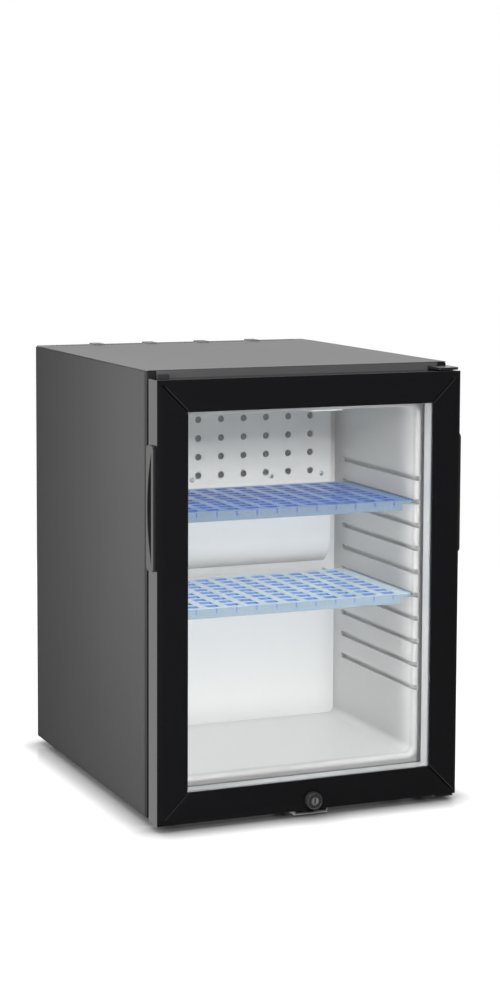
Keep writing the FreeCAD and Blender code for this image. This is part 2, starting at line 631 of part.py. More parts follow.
def rear_vent_comb():
    """Slotted strip along the rear of the top, with low tabs between the slots."""
    xs = f"-({HALF} - sheet_wall)", f"{HALF} - sheet_wall"
    ys = f"{REAR_Y} - comb_depth", f"{REAR_Y} - sheet_wall"
    zs = f"{ROOF} - comb_wall", ROOF
    pieces = [block("comb_strip", xs, ys, zs)]
    slots = []
    for index in range(count_of("comb_slot_count")):
        slot_xs = about(centred(index, "comb_slot_count", "comb_pitch"), "comb_slot_width")
        slots.append(block(f"comb_slot_{index}", slot_xs, inset(ys, "comb_slot_margin"), outset(zs)))
    for index in range(count_of("comb_slot_count - 1")):
        tab_xs = about(centred(index, "(comb_slot_count - 1)", "comb_pitch"), "comb_tab_width")
        pieces.append(block(f"comb_tab_{index}", tab_xs, ys, (ROOF, f"{ROOF} + comb_tab_rise")))
    keep(cut("comb", fuse("comb_body", pieces), slots), "rear_vent_comb")


def foot(index, x, y):
    """One tapered foot with its recessed hole, and the screw that comes up through it."""
    cone = doc.addObject("Part::Cone", f"foot_cone_{index}")
    bind(cone, "Radius1", "foot_tip_radius")
    bind(cone, "Radius2", "foot_top_radius")
    bind(cone, "Height", "foot_height")
    place(cone, (x, y, "0"))
    recess = rod(f"foot_recess_{index}", "foot_recess_radius", (x, y, "-overrun"),
                 "foot_recess_depth + overrun", "Z")
    hole = bore(f"foot_hole_{index}", "foot_shank_radius + screw_clearance", (x, y, "0"), "foot_height", "Z")
    block_foot = cut(f"foot_{index}", cone, [fuse(f"foot_bore_{index}", [recess, hole])])
    head_spot = (x, y, "foot_recess_depth - foot_head_height")
    head = rod(f"foot_head_{index}", "foot_head_radius", head_spot, "foot_head_height", "Z")
    shank = rod(f"foot_shank_{index}", "foot_shank_radius", (x, y, "foot_recess_depth"),
                "foot_height + sheet_wall - foot_recess_depth", "Z")
    return block_foot, fuse(f"foot_screw_{index}", [head, shank])


def feet():
    """Four feet under the base, each with a screw from below."""
    pairs = [foot(index, x, y) for index, (x, y) in enumerate(foot_spots())]
    keep(group("foot_set", [block_foot for block_foot, screw in pairs]), "feet")
    keep(group("foot_screw_set", [screw for block_foot, screw in pairs]), "foot_screws")


def top_screw_xs():
    """Where the two screws of the upper bracket stand, both in the rail."""
    first = f"({BRACKET_LEFT} + bracket_screw_margin)"
    return first, f"({first} + bracket_screw_spacing)"


def under_screw_spots():
    """Where the screws of the lower bracket and of the keeper go up into the base sheet."""
    middle = f"({BRACKET_LEFT} + bracket_width / 2)"
    tail = f"({FRONT_Y} + bracket_tail - bracket_screw_margin)"
    keeper_y = f"({FRONT_Y} + keeper_tail - bracket_screw_margin)"
    return (
        (f"{middle} - bracket_screw_spacing", tail),
        (f"{middle} + bracket_screw_spacing", tail),
        ("lock_offset - keeper_screw_spacing / 2", keeper_y),
        ("lock_offset + keeper_screw_spacing / 2", keeper_y),
    )


def bracket_arm(name, ys, z_low):
    """Flat hinge arm with rounded front corners, lying under or over the door."""
    body = new_body(name)
    ring = rectangle((BRACKET_LEFT, ys[0]), (BRACKET_RIGHT, ys[1]))
    pad(body, outline(body, f"{name}_outline", "XY_Plane", [ring]), "bracket_wall")
    soften(body, f"{name}_tip", "bracket_corner", lambda spot: near(spot.y, ys[0]), "Z")
    return place(body, ("0", "0", z_low))


def top_hinge_bracket():
    """Angle bracket screwed to the front rail, with its arm over the door."""
    arm = bracket_arm("top_arm", (f"{HINGE_Y} - bracket_tip", FRONT_Y), TOP_ARM_Z)
    leg_y = f"{FRONT_Y} - bracket_wall"
    leg = block("top_leg", (BRACKET_LEFT, BRACKET_RIGHT), (leg_y, FRONT_Y),
                (TOP_LEG_Z, f"{TOP_ARM_Z} + bracket_wall"))
    tools = [bore("top_pin_hole", PIN_SEAT, (HINGE_X, HINGE_Y, TOP_ARM_Z), "bracket_wall", "Z")]
    for index, x in enumerate(top_screw_xs()):
        tools.append(bore(f"top_screw_hole_{index}", SCREW_HOLE, (x, leg_y, TOP_SCREW_Z), "bracket_wall", "Y"))
    keep(cut("top_bracket", fuse("top_angle", [arm, leg]), tools), "top_hinge_bracket")


def bottom_hinge_bracket():
    """Plate screwed under the base, with its arm below the door and a pad that lifts it to the sheet."""
    tail = f"{FRONT_Y} + bracket_tail"
    arm = bracket_arm("bottom_arm", (f"{HINGE_Y} - bracket_tip", tail), BOTTOM_ARM_Z)
    lift = block("bottom_lift", (BRACKET_LEFT, BRACKET_RIGHT), (f"{FRONT_Y} + sheet_wall", tail),
                 (f"{BOTTOM_ARM_Z} + bracket_wall", UNDER))
    tools = [bore("bottom_pin_hole", PIN_SEAT, (HINGE_X, HINGE_Y, BOTTOM_ARM_Z), "bracket_wall", "Z")]
    for index, (x, y) in enumerate(under_screw_spots()[:2]):
        tools.append(bore(f"bottom_screw_hole_{index}", SCREW_HOLE, (x, y, BOTTOM_ARM_Z), "foot_height", "Z"))
    keep(cut("bottom_bracket", fuse("bottom_plate", [arm, lift]), tools), "bottom_hinge_bracket")


def hinge_pins():
    """A steel pin pressed into each bracket."""
    length = "pin_depth + washer_wall + bracket_wall"
    pins = [
        rod(f"{word}_pin", "pin_radius", (HINGE_X, HINGE_Y, low), length, "Z")
        for word, low in (("top", f"{DOOR_HIGH} - pin_depth"), ("bottom", BOTTOM_ARM_Z))
    ]
    keep(group("pin_pair", pins), "hinge_pins")


def hinge_washers():
    """A washer on each pin, between the door and the bracket."""
    thickness = "washer_wall - washer_clearance"
    lows = {"top": f"{DOOR_HIGH} + washer_clearance", "bottom": f"{DOOR_LOW} - washer_wall"}
    rings = []
    for word, low in lows.items():
        disc = rod(f"{word}_washer_disc", "washer_radius", (HINGE_X, HINGE_Y, low), thickness, "Z")
        hole = bore(f"{word}_washer_hole", PIN_SEAT, (HINGE_X, HINGE_Y, low), thickness, "Z")
        rings.append(cut(f"{word}_washer", disc, [hole]))
    keep(group("washers", rings), "hinge_washers")


def pan_screw(name, head_start, along, shank):
    """A screw that points up or backwards: a flat head before its start point and a shank after it."""
    x, y, z = head_start
    head_spot = (x, f"{y} - bracket_head_height", z) if along == "Y" else (x, y, f"{z} - bracket_head_height")
    head = rod(f"{name}_head", "bracket_head_radius", head_spot, "bracket_head_height", along)
    body = rod(f"{name}_shank", "bracket_screw_radius", head_start, shank, along)
    return fuse(name, [head, body])


def bracket_screws():
    """Screws of both hinge brackets and the keeper."""
    screws = []
    for index, x in enumerate(top_screw_xs()):
        start = (x, f"{FRONT_Y} - bracket_wall", TOP_SCREW_Z)
        screws.append(pan_screw(f"top_screw_{index}", start, "Y", "bracket_wall"))
    heights = [BOTTOM_ARM_Z, BOTTOM_ARM_Z, KEEPER_LOW, KEEPER_LOW]
    for index, ((x, y), low) in enumerate(zip(under_screw_spots(), heights)):
        screws.append(pan_screw(f"under_screw_{index}", (x, y, low), "Z", f"{UNDER} + sheet_wall - ({low})"))
    keep(group("screw_set", screws), "bracket_screws")


def hinge_blank_cap():
    """Flat cap over the unused hinge place at the left end of the rail."""
    left = f"-({HALF} - front_return)"
    zs = TOP_LEG_Z, f"{TOP_ARM_Z} + bracket_wall"
    cap = block("blank_cap", (left, f"{left} + blank_cap_width"), (f"{FRONT_Y} - blank_cap_wall", FRONT_Y), zs)
    keep(cap, "hinge_blank_cap")


def lock_keeper():
    """Steel plate that comes forward below the door, with end tabs and a catch that the cam hooks behind."""
    xs = about("lock_offset", "keeper_width")
    ys = f"({DOOR_Y} + keeper_setback)", f"{FRONT_Y} + keeper_tail"
    top = f"{DOOR_LOW} - keeper_gap"
    plate_top = f"{KEEPER_LOW} + keeper_wall"
    catch_y = f"({CAM_Y} - keeper_catch_gap)"
    tab_ys = ys[0], catch_y
    pieces = [
        block("keeper_plate", xs, ys, (KEEPER_LOW, plate_top)),
        block("keeper_catch", xs, (f"{catch_y} - keeper_wall", catch_y), (KEEPER_LOW, top)),
        block("keeper_pad", xs, (f"{FRONT_Y} + keeper_pad_start", ys[1]), (plate_top, UNDER)),
        block("keeper_tab_left", (xs[0], f"{xs[0]} + keeper_wall"), tab_ys, (KEEPER_LOW, top)),
        block("keeper_tab_right", (f"{xs[1]} - keeper_wall", xs[1]), tab_ys, (KEEPER_LOW, top)),
    ]
    holes = [
        bore(f"keeper_hole_{index}", SCREW_HOLE, (x, y, KEEPER_LOW), "foot_height", "Z")
        for index, (x, y) in enumerate(under_screw_spots()[2:])
    ]
    keep(cut("keeper", fuse("keeper_folded", pieces), holes), "lock_keeper")


def door_bar(label, length, spot, angle):
    """One mitred hollow bar of the door, made standing and turned about the door's normal."""
    body = new_body(label)
    section = outline(body, f"{label}_section", "XY_Plane", [BAR_SECTION, rectangle(*CHAMBER)])
    pad(body, section, length)
    mitres = [
        [("0", "0"), ("bar_width", "0"), ("bar_width", "bar_width")],
        [("0", length), ("bar_width", length), ("bar_width", f"{length} - bar_width")],
    ]
    pocket(body, outline(body, f"{label}_mitres", "XZ_Plane", mitres), "door_thickness + overrun")
    return place(body, spot, FreeCAD.Rotation(FreeCAD.Vector(0, 1, 0), angle))


def side_bar(label, spot, angle, grip_from_start):
    """Upright bar with the window that takes a finger grip."""
    body = door_bar(label, DOOR_HEIGHT, spot, angle)
    half = f"({GRIP_CUP_HALF} + grip_clearance)"
    ring = rectangle((f"{GRIP_CUP_YS[0]} - grip_clearance", f"{grip_from_start} - {half}"),
                     (f"{GRIP_CUP_YS[1]} + grip_clearance", f"{grip_from_start} + {half}"))
    pocket(body, outline(body, f"{label}_window", "YZ_Plane", [ring]), "bar_wall", True)
    keep(body, label)


def door_bars():
    """The four bars of the door frame with their hinge, lock and grip openings."""
    grip = f"({GRIP_Z} - {DOOR_LOW})"
    side_bar("door_bar_left", (f"-{DOOR_HALF}", DOOR_Y, DOOR_LOW), 0, grip)
    side_bar("door_bar_right", (DOOR_HALF, DOOR_Y, DOOR_HIGH), 180, f"({DOOR_HEIGHT} - {grip})")
    top = door_bar("door_bar_top", DOOR_WIDTH, (f"-{DOOR_HALF}", DOOR_Y, DOOR_HIGH), 90)
    bottom = door_bar("door_bar_bottom", DOOR_WIDTH, (DOOR_HALF, DOOR_Y, DOOR_LOW), -90)
    for bar, along in ((top, f"{DOOR_WIDTH} - hinge_inset"), (bottom, "hinge_inset")):
        hole = round_hole(bar, f"{bar.Name}_hinge", "YZ_Plane", ("hinge_setback", along), BUSH_SEAT)
        pocket(bar, hole, "bar_wall", True)
    spot = ("lock_rise", f"{DOOR_HALF} - lock_offset")
    hole = round_hole(bottom, "bottom_lock", "XZ_Plane", spot, "lock_barrel_radius + lock_clearance")
    pocket(bottom, hole, "door_thickness + overrun")
    keep(top, "door_bar_top")
    keep(bottom, "door_bar_bottom")


def corner_key(side, end, name):
    """One L-shaped key inside a mitred corner; the right-hand ones are bored for a hinge bush."""
    near_edge, front = (f"({text} + key_clearance)" for text in CHAMBER[0])
    far_edge, back = (f"({text} - key_clearance)" for text in CHAMBER[1])
    ys = f"{DOOR_Y} + {front}", f"{DOOR_Y} + {back}"
    upright_xs = span(side, f"{DOOR_HALF} - {far_edge}", f"{DOOR_HALF} - {near_edge}")
    level_xs = span(side, f"{DOOR_HALF} - key_arm", f"{DOOR_HALF} - {near_edge}")
    if end == "high":
        upright_zs = f"{DOOR_HIGH} - key_arm", f"{DOOR_HIGH} - {near_edge}"
        level_zs = f"{DOOR_HIGH} - {far_edge}", f"{DOOR_HIGH} - {near_edge}"
    else:
        upright_zs = f"{DOOR_LOW} + {near_edge}", f"{DOOR_LOW} + key_arm"
        level_zs = f"{DOOR_LOW} + {near_edge}", f"{DOOR_LOW} + {far_edge}"
    upright = block(f"{name}_upright", upright_xs, ys, upright_zs)
    key = fuse(name, [upright, block(f"{name}_level", level_xs, ys, level_zs)])
    if side < 0:
        return key
    seat = rod(f"{name}_seat", BUSH_SEAT, (HINGE_X, HINGE_Y, BUSH_LOWS[end]), "bush_length", "Z")
    return cut(f"{name}_bored", key, [seat])


def corner_keys():
    """Four keys inside the mitred corners of the door."""
    keys = []
    for side, word in ((-1, "left"), (1, "right")):
        for end in BUSH_LOWS:
            keys.append(corner_key(side, end, f"key_{word}_{end}"))
    keep(group("key_set", keys), "corner_keys")


def hinge_bushes():
    """Two plain bushes in the door that turn on the hinge pins."""
    bushes = []
    for word, low in BUSH_LOWS.items():
        spot = (HINGE_X, HINGE_Y, low)
        sleeve = rod(f"bush_sleeve_{word}", BUSH_RADIUS, spot, "bush_length", "Z")
        hole = bore(f"bush_hole_{word}", "pin_radius + running_clearance", spot, "bush_length", "Z")
        bushes.append(cut(f"bush_{word}", sleeve, [hole]))
    keep(group("bush_set", bushes), "hinge_bushes")


def ring_block(label, outer_xs, outer_zs, width, ys):
    """A flat rectangular ring of one width round the door's opening."""
    outer = block(f"{label}_outer", outer_xs, ys, outer_zs)
    inner = block(f"{label}_inner", inset(outer_xs, width), outset(ys), inset(outer_zs, width))
    keep(cut(f"{label}_ring", outer, [inner]), label)


def glazing():
    """Two panes with a spacer frame between them, held by a bead at the back."""
    xs = f"-{PANE_HALF}", PANE_HALF
    zs = PANE_LOW, PANE_HIGH
    front = f"({DOOR_Y} + lip_wall)"
    middle = f"({front} + pane_wall)"
    rear = f"({middle} + spacer_depth)"
    back = f"({rear} + pane_wall)"
    keep(block("pane_front", xs, (front, middle), zs), "front_glass")
    ring_block("glass_spacer", xs, zs, "spacer_width", (middle, rear))
    keep(block("pane_rear", xs, (rear, back), zs), "rear_glass")
    edge = f"({DOOR_HALF} - bar_width + glass_lip)"
    bead_zs = f"{DOOR_LOW} + bar_width - glass_lip", f"{DOOR_HIGH} - bar_width + glass_lip"
    ring_block("glazing_bead", (f"-{edge}", edge), bead_zs, "glass_lip", (back, DOOR_BACK_Y))


def door_gasket():
    """Soft magnetic seal round the back of the door."""
    half = f"({DOOR_HALF} - gasket_inset)"
    ys = DOOR_BACK_Y, f"{FRONT_Y} - gasket_clearance"
    zs = inset((DOOR_LOW, DOOR_HIGH), "gasket_inset")
    ring_block("door_gasket", (f"-{half}", half), zs, "gasket_width", ys)


def grip_rim(side, label):
    """Flat rim of a finger grip, standing proud of the door's edge."""
    body = new_body(label)
    low, high = about(GRIP_Z, "grip_length")
    ring = rectangle((f"{DOOR_Y} + grip_front", low), (f"{DOOR_Y} + grip_front + grip_width", high))
    pad(body, outline(body, f"{label}_rim", "YZ_Plane", [ring]), "grip_proud", side < 0)
    soften(body, f"{label}_corners", "grip_corner", lambda spot: near(spot.z, low) or near(spot.z, high), "X")
    return place(body, (f"{side} * {DOOR_HALF}", "0", "0"))


def grip_recess(side, label):
    """Finger recess with a D-shaped outline: a slab kept inside one large round."""
    xs = span(side, f"{DOOR_HALF} + grip_proud - grip_recess_depth", f"{DOOR_HALF} + grip_proud + overrun")
    ys = f"{DOOR_Y} + grip_recess_front", f"{DOOR_Y} + grip_front + grip_width"
    centre_y = f"{ys[0]} + grip_recess_sag - {GRIP_ROUND}"
    recess = doc.addObject("Part::Common", f"{label}_recess")
    recess.Base = block(f"{label}_slab", xs, ys, about(GRIP_Z, f"2 * {GRIP_CUP_HALF}"))
    recess.Tool = rod(f"{label}_curve", GRIP_ROUND, (xs[0], centre_y, GRIP_Z), f"({xs[1]}) - ({xs[0]})", "X")
    return recess


def door_grip(side, label):
    """Finger grip: a proud rim with a hollow cup that goes into the bar, open in a D shape."""
    depth = "grip_recess_depth + grip_wall - grip_proud"
    cup_xs = span(side, f"{DOOR_HALF} - ({depth})", DOOR_HALF)
    cup_ys = tuple(f"{DOOR_Y} + {text}" for text in GRIP_CUP_YS)
    cup = block(f"{label}_cup", cup_xs, cup_ys, about(GRIP_Z, f"2 * {GRIP_CUP_HALF}"))
    solid = fuse(f"{label}_solid", [grip_rim(side, label), cup])
    keep(cut(f"{label}_grip", solid, [grip_recess(side, label)]), label)


def turned(name, spot, steps):
    """A round piece along Y built of stacked lengths, each a radius and a length."""
    pieces = []
    x, y, z = spot
    for index, (radius, length) in enumerate(steps):
        pieces.append(rod(f"{name}_{index}", radius, (x, y, z), length, "Y"))
        y = f"{y} + {length}"
    return fuse(name, pieces)


def lock_case():
    """Fixed lock housing with its round head."""
    head_y = f"({DOOR_Y} - lock_proud)"
    rim = doc.addObject("Part::Cone", "lock_rim")
    bind(rim, "Radius1", "lock_head_radius - lock_chamfer")
    bind(rim, "Radius2", "lock_head_radius")
    bind(rim, "Height", "lock_chamfer")
    place(rim, ("lock_offset", head_y, LOCK_Z), LAID_ALONG["Y"])
    stack = turned("lock_stack", ("lock_offset", f"{head_y} + lock_chamfer", LOCK_Z), [
        ("lock_head_radius", "lock_proud - lock_chamfer"),
        ("lock_barrel_radius", "door_thickness"),
    ])
    hole = bore("lock_bore", "plug_radius + running_clearance", ("lock_offset", head_y, LOCK_Z),
                "lock_proud + door_thickness", "Y")
    keep(cut("lock_case", fuse("lock_turned", [rim, stack]), [hole]), "lock_housing")


def lock_works():
    """Turning plug with its key slot, the cam on its tail and the cam's screw."""
    front = f"({DOOR_Y} - lock_proud + plug_setback)"
    plug = rod("plug_round", "plug_radius", ("lock_offset", front, LOCK_Z), f"{CAM_Y} - {front}", "Y")
    slot = block("plug_slot", about("lock_offset", "key_slot_width"),
                 (f"{front} - overrun", f"{front} + key_slot_depth"), about(LOCK_Z, "key_slot_height"))
    keep(cut("plug", plug, [slot]), "lock_plug")
    seat = ("lock_offset", CAM_Y, LOCK_Z)
    hub = rod("cam_hub", "cam_half_width", seat, "cam_wall", "Y")
    tongue = block("cam_tongue", ("lock_offset", "lock_offset + cam_length"), (CAM_Y, f"{CAM_Y} + cam_wall"),
                   about(LOCK_Z, "2 * cam_half_width"))
    hole = bore("cam_hole", "cam_hole_radius", seat, "cam_wall", "Y")
    keep(cut("cam", fuse("cam_blank", [hub, tongue]), [hole]), "lock_cam")
    screw = turned("cam_fixing", seat, [
        ("cam_hole_radius - screw_clearance", "cam_wall"), ("cam_head_radius", "cam_head_height"),
    ])
    keep(screw, "cam_screw")


def evaporator():
    """Cold plate on the back wall with upright fins."""
    zs = "foot_height + evaporator_low", "foot_height + evaporator_high"
    xs = about("0", "evaporator_width")
    face = f"{BACK_Y} - evaporator_wall"
    step = "(evaporator_width - evaporator_fin_wall) / (evaporator_fin_count - 1)"
    pieces = [block("cold_plate", xs, (face, BACK_Y), zs)]
    for index in range(count_of("evaporator_fin_count")):
        left = f"{xs[0]} + {index} * {step}"
        pieces.append(block(f"cold_fin_{index}", (left, f"{left} + evaporator_fin_wall"),
                            (f"{face} - evaporator_fin_depth", face), zs))
    keep(fuse("cold_block", pieces), "evaporator")


def cover_screw_spots():
    """Where the four screws of the evaporator cover stand."""
    xs = ("-cover_screw_far", "-cover_screw_near", "cover_screw_near", "cover_screw_far")
    return [(x, "(foot_height + cover_screw_rise)") for x in xs]


def cover_bend(xs, bend_z):
    """Large round at the foot of the cover that curls back as far as the wall."""
    axis = (xs[0], f"{COVER_Y} + cover_bend_radius", bend_z)
    outer = rod("cover_outer", "cover_bend_radius", axis, "cover_width", "X")
    inner = bore("cover_inner", "cover_bend_radius - cover_wall", axis, "cover_width", "X")
    curl = doc.addObject("Part::Common", "cover_bend")
    curl.Base = cut("cover_ring", outer, [inner])
    curl.Tool = block("cover_part", xs, (COVER_Y, BACK_Y), (f"{bend_z} - cover_bend_radius", bend_z))
    return curl


def cover_hole_spots():
    """Where the round holes of the evaporator cover stand, column by column."""
    spots = []
    for column in range(count_of("cover_hole_columns")):
        x = centred(column, "cover_hole_columns", "cover_hole_across")
        for row in range(count_of("cover_hole_rows")):
            spots.append((x, f"foot_height + cover_hole_low + {row} * cover_hole_up"))
    return spots


def evaporator_cover():
    """Perforated metal cover that hangs in front of the evaporator and curls back to the wall below."""
    xs = about("0", "cover_width")
    bend_z = "(foot_height + cover_bend_rise)"
    zs = bend_z, f"{CEILING_Z} - cover_top_gap"
    flat = block("cover_flat", xs, (COVER_Y, f"{COVER_Y} + cover_wall"), zs)
    places = [("cover_hole_radius", spot) for spot in cover_hole_spots()]
    places += [(COVER_SCREW_HOLE, spot) for spot in cover_screw_spots()]
    holes = [
        bore(f"cover_hole_{index}", radius, (x, COVER_Y, z), "cover_wall", "Y")
        for index, (radius, (x, z)) in enumerate(places)
    ]
    keep(cut("cover", fuse("cover_sheet", [flat, cover_bend(xs, bend_z)]), holes), "evaporator_cover")


def cover_fixings():
    """Spacers that stand the cover off the back wall, and their screws."""
    spacers = []
    screws = []
    back = f"{COVER_Y} + cover_wall"
    depth = "cover_setback - cover_wall"
    for index, (x, z) in enumerate(cover_screw_spots()):
        post = rod(f"spacer_post_{index}", "cover_spacer_radius", (x, back, z), depth, "Y")
        hole = bore(f"spacer_hole_{index}", COVER_SCREW_HOLE, (x, back, z), depth, "Y")
        spacers.append(cut(f"spacer_{index}", post, [hole]))
        screws.append(turned(f"cover_screw_{index}", (x, f"{COVER_Y} - cover_head_height", z), [
            ("cover_head_radius", "cover_head_height"), ("cover_screw_radius", "cover_screw_length"),
        ]))
    keep(group("spacer_set", spacers), "cover_spacers")
    keep(group("cover_screw_set", screws), "cover_screws")


def drip_gutter():
    """Open channel below the cover that leads defrost water to the drain."""
    xs = about("0", "cover_width")
    ys = f"{BACK_Y} - gutter_depth", BACK_Y
    low = "foot_height + gutter_rise"
    outer = block("gutter_outer", xs, ys, (low, f"{low} + gutter_height"))
    inner = block("gutter_inner", inset(xs, "gutter_wall"), inset(ys, "gutter_wall"),
                  (f"{low} + gutter_wall", f"{low} + gutter_height + overrun"))
    outlet = ("-drain_offset", f"{BACK_Y} - gutter_wall", DRAIN_Z)
    hole = bore("gutter_hole", "drain_radius + pipe_clearance", outlet, "gutter_wall", "Y")
    keep(cut("gutter", outer, [inner, hole]), "drip_gutter")


def drain_tube():
    """Drain tube from the gutter through the back wall and down."""
    x = "-drain_offset"
    turn_y = f"({MACHINE_Y} + drain_run)"
    spots = [(x, f"{BACK_Y} - gutter_wall", DRAIN_Z), (x, turn_y, DRAIN_Z), (x, turn_y, "drain_low")]
    outer = pipe("drain_outer", spots, "drain_radius", "drain_bend")
    inner = pipe("drain_inner", spots, "drain_bore", "drain_bend")
    keep(cut("drain", outer, [inner]), "drain_tube")


def condensate_cup():
    """Open cup on the bulkhead that the drain drips into."""
    xs = about("-drain_offset", "cup_width")
    ys = MACHINE_Y, f"{MACHINE_Y} + cup_depth"
    outer = block("cup_outer", xs, ys, ("cup_low", "cup_low + cup_height"))
    hollow = block("cup_hollow", inset(xs, "cup_wall"), inset(ys, "cup_wall"),
                   ("cup_low + cup_wall", "cup_low + cup_height + overrun"))
    keep(cut("cup", outer, [hollow]), "condensate_cup")


def lamp():
    """Ceiling lamp: base plate, light board and a hollow lens."""
    xs = about("lamp_offset", "lamp_width")
    ys = f"{FRONT_Y} + lamp_setback", f"{FRONT_Y} + lamp_setback + lamp_length"
    base_low = f"({CEILING_Z} - lamp_base_wall)"
    lens_low = f"({CEILING_Z} - lamp_drop)"
    keep(block("lamp_base", xs, ys, (base_low, CEILING_Z)), "lamp_housing")
    board_zs = f"{base_low} - lamp_board_wall", base_low
    margin = "lamp_board_margin"
    keep(block("lamp_lights", inset(xs, margin), inset(ys, margin), board_zs), "lamp_board")
    outer = block("lens_outer", xs, ys, (lens_low, base_low))
    hollow = block("lens_hollow", inset(xs, "lens_wall"), inset(ys, "lens_wall"),
                   (f"{lens_low} + lens_wall", f"{base_low} + overrun"))
    keep(cut("lens", outer, [hollow]), "lamp_lens")


def shelf_lip(body, label):
    """Front lip below the plate of a shelf, stiffened by a row of short ribs."""
    drop = "shelf_lip_height - shelf_wall"
    half = f"({CAVITY_HALF} - shelf_lip_inset)"
    pad(body, level_ring(body, f"{label}_lip", (f"-{half}", half), ("0", "shelf_lip_wall")), drop, True)
    rib_xs = about(SHELF_FIRST, "shelf_gusset_wall")
    ring = level_ring(body, f"{label}_gusset", rib_xs, ("0", "shelf_gusset_depth"))
    repeat(body, pad(body, ring, drop, True), ring, "H_Axis", "shelf_slot_across", "shelf_columns")


def shelf_slots(body, label):
    """Grid of slots through the plate of a shelf."""
    ys = "shelf_slot_front", "shelf_slot_front + shelf_slot_length"
    ring = level_ring(body, f"{label}_slot", about(SHELF_FIRST, "shelf_slot_width"), ys)
    first = pocket(body, ring, "shelf_wall + overrun", True)
    grid = repeat(body, first, ring, "H_Axis", "shelf_slot_across", "shelf_columns")
    grid.Direction2 = (ring, ["V_Axis"])
    bind(grid, "Length2", "shelf_slot_along * (shelf_rows - 1)")
    bind(grid, "Occurrences2", "shelf_rows")


def shelf(label, runner):
    """Slotted plastic shelf with a ribbed front lip; its side edges ride in a pair of grooves."""
    body = new_body(label)
    plate = level_ring(body, f"{label}_plate", (f"-{SHELF_HALF}", SHELF_HALF), ("0", "shelf_length"))
    pad(body, plate, "shelf_wall")
    soften(body, f"{label}_corners", "shelf_corner", lambda spot: near(abs(spot.x), SHELF_HALF), "Z")
    shelf_lip(body, label)
    shelf_slots(body, label)
    place(body, ("0", f"{FRONT_Y} + shelf_setback", f"{runner_low(runner)} + shelf_lift"))
    keep(body, label)


def boiler():
    """Closed sheet casing of the boiler with its electric heater cartridge inside."""
    wall = "boiler_wall"
    xs = BOILER_LEFT, BOILER_RIGHT
    ys = BOILER_FRONT, f"{BOILER_FRONT} + boiler_width"
    zs = "boiler_low", BOILER_TOP
    outer = block("casing_outer", xs, ys, zs)
    hollow = block("casing_hollow", inset(xs, wall), inset(ys, wall), inset(zs, wall))
    keep(cut("casing", outer, [hollow]), "boiler_casing")
    seat = (BOILER_X, BOILER_Y, f"boiler_low + {wall}")
    keep(rod("heater", "heater_radius", seat, "heater_length", "Z"), "heater_cartridge")


def condenser():
    """Pipe from the boiler's top through a row of cooling fins and on into the evaporator."""
    entry_z = "(foot_height + condenser_entry_rise)"
    spots = [
        (BOILER_X, BOILER_Y, BOILER_TOP),
        (BOILER_X, BOILER_Y, CONDENSER_Z),
        (UPPER_PIPES["liquid"], BOILER_Y, CONDENSER_Z),
        (UPPER_PIPES["liquid"], BOILER_Y, entry_z),
        (UPPER_PIPES["liquid"], BACK_Y, entry_z),
    ]
    keep(pipe("condenser", spots, "condenser_radius", "condenser_bend"), "condenser_pipe")


def condenser_fins():
    """Square cooling fins on the level run of the condenser pipe."""
    ys = about(BOILER_Y, "fin_side")
    zs = about(CONDENSER_Z, "fin_side")
    radius = "condenser_radius + fin_clearance"
    fins = []
    for index in range(count_of("fin_count")):
        left = f"(({BOILER_X} - condenser_entry) / 2 + {centred(index, 'fin_count', 'fin_pitch')})"
        plate = block(f"fin_plate_{index}", (left, f"{left} + fin_wall"), ys, zs)
        hole = bore(f"fin_hole_{index}", radius, (left, BOILER_Y, CONDENSER_Z), "fin_wall", "X")
        fins.append(cut(f"fin_{index}", plate, [hole]))
    keep(group("fin_set", fins), "condenser_fins")


def absorber_vessel():
    """Level drum at the bottom of the unit, with welded stubs for the coil and the gas pipe."""
    drum_spot = ("-vessel_left", VESSEL_Y, "vessel_axis")
    drum = rod("drum", "vessel_radius", drum_spot, "vessel_left + vessel_right", "X")
    coil_spot = ("-coil_left", COIL_Y, "vessel_axis")
    coil_stub = rod("coil_stub", "coil_radius", coil_spot, "stub_rise", "Z")
    gas_spot = (UPPER_PIPES["gas"], EXCHANGER_Y, "vessel_axis")
    gas_stub = rod("gas_stub", "exchanger_radius", gas_spot, "stub_rise", "Z")
    keep(fuse("vessel", [drum, coil_stub, gas_stub]), "absorber_vessel")


def absorber_coil():
    """Flat serpentine of pipe above the drum, from its stub across to the boiler casing."""
    spots = [("-coil_left", COIL_Y, STUB_TOP)]
    count = count_of("coil_pass_count")
    for index in range(count):
        z = f"(coil_low + {index} * coil_pitch)"
        ends = ("-coil_left", "coil_right") if index % 2 == 0 else ("coil_right", "-coil_left")
        spots.append((ends[0], COIL_Y, z))
        spots.append((ends[1] if index < count - 1 else BOILER_LEFT, COIL_Y, z))
    keep(pipe("coil", spots, "coil_radius", "(coil_pitch - coil_radius) / 2"), "absorber_coil")


def gas_exchanger():
    """Wide gas pipe from the evaporator through the insulation and down to the drum."""
    x = UPPER_PIPES["gas"]
    z = "foot_height + exchanger_rise"
    spots = [(x, BACK_Y, z), (x, EXCHANGER_Y, z), (x, EXCHANGER_Y, STUB_TOP)]
    keep(pipe("exchanger", spots, "exchanger_radius", "exchanger_bend"), "gas_exchanger")


def solution_pipe():
    """Thin pipe that carries the liquor from the drum to the foot of the boiler."""
    spots = [
        ("vessel_right", VESSEL_Y, "vessel_axis"),
        (BOILER_X, VESSEL_Y, "vessel_axis"),
        (BOILER_X, BOILER_Y, "boiler_low"),
    ]
    keep(pipe("solution", spots, "solution_radius", "solution_bend"), "solution_pipe")


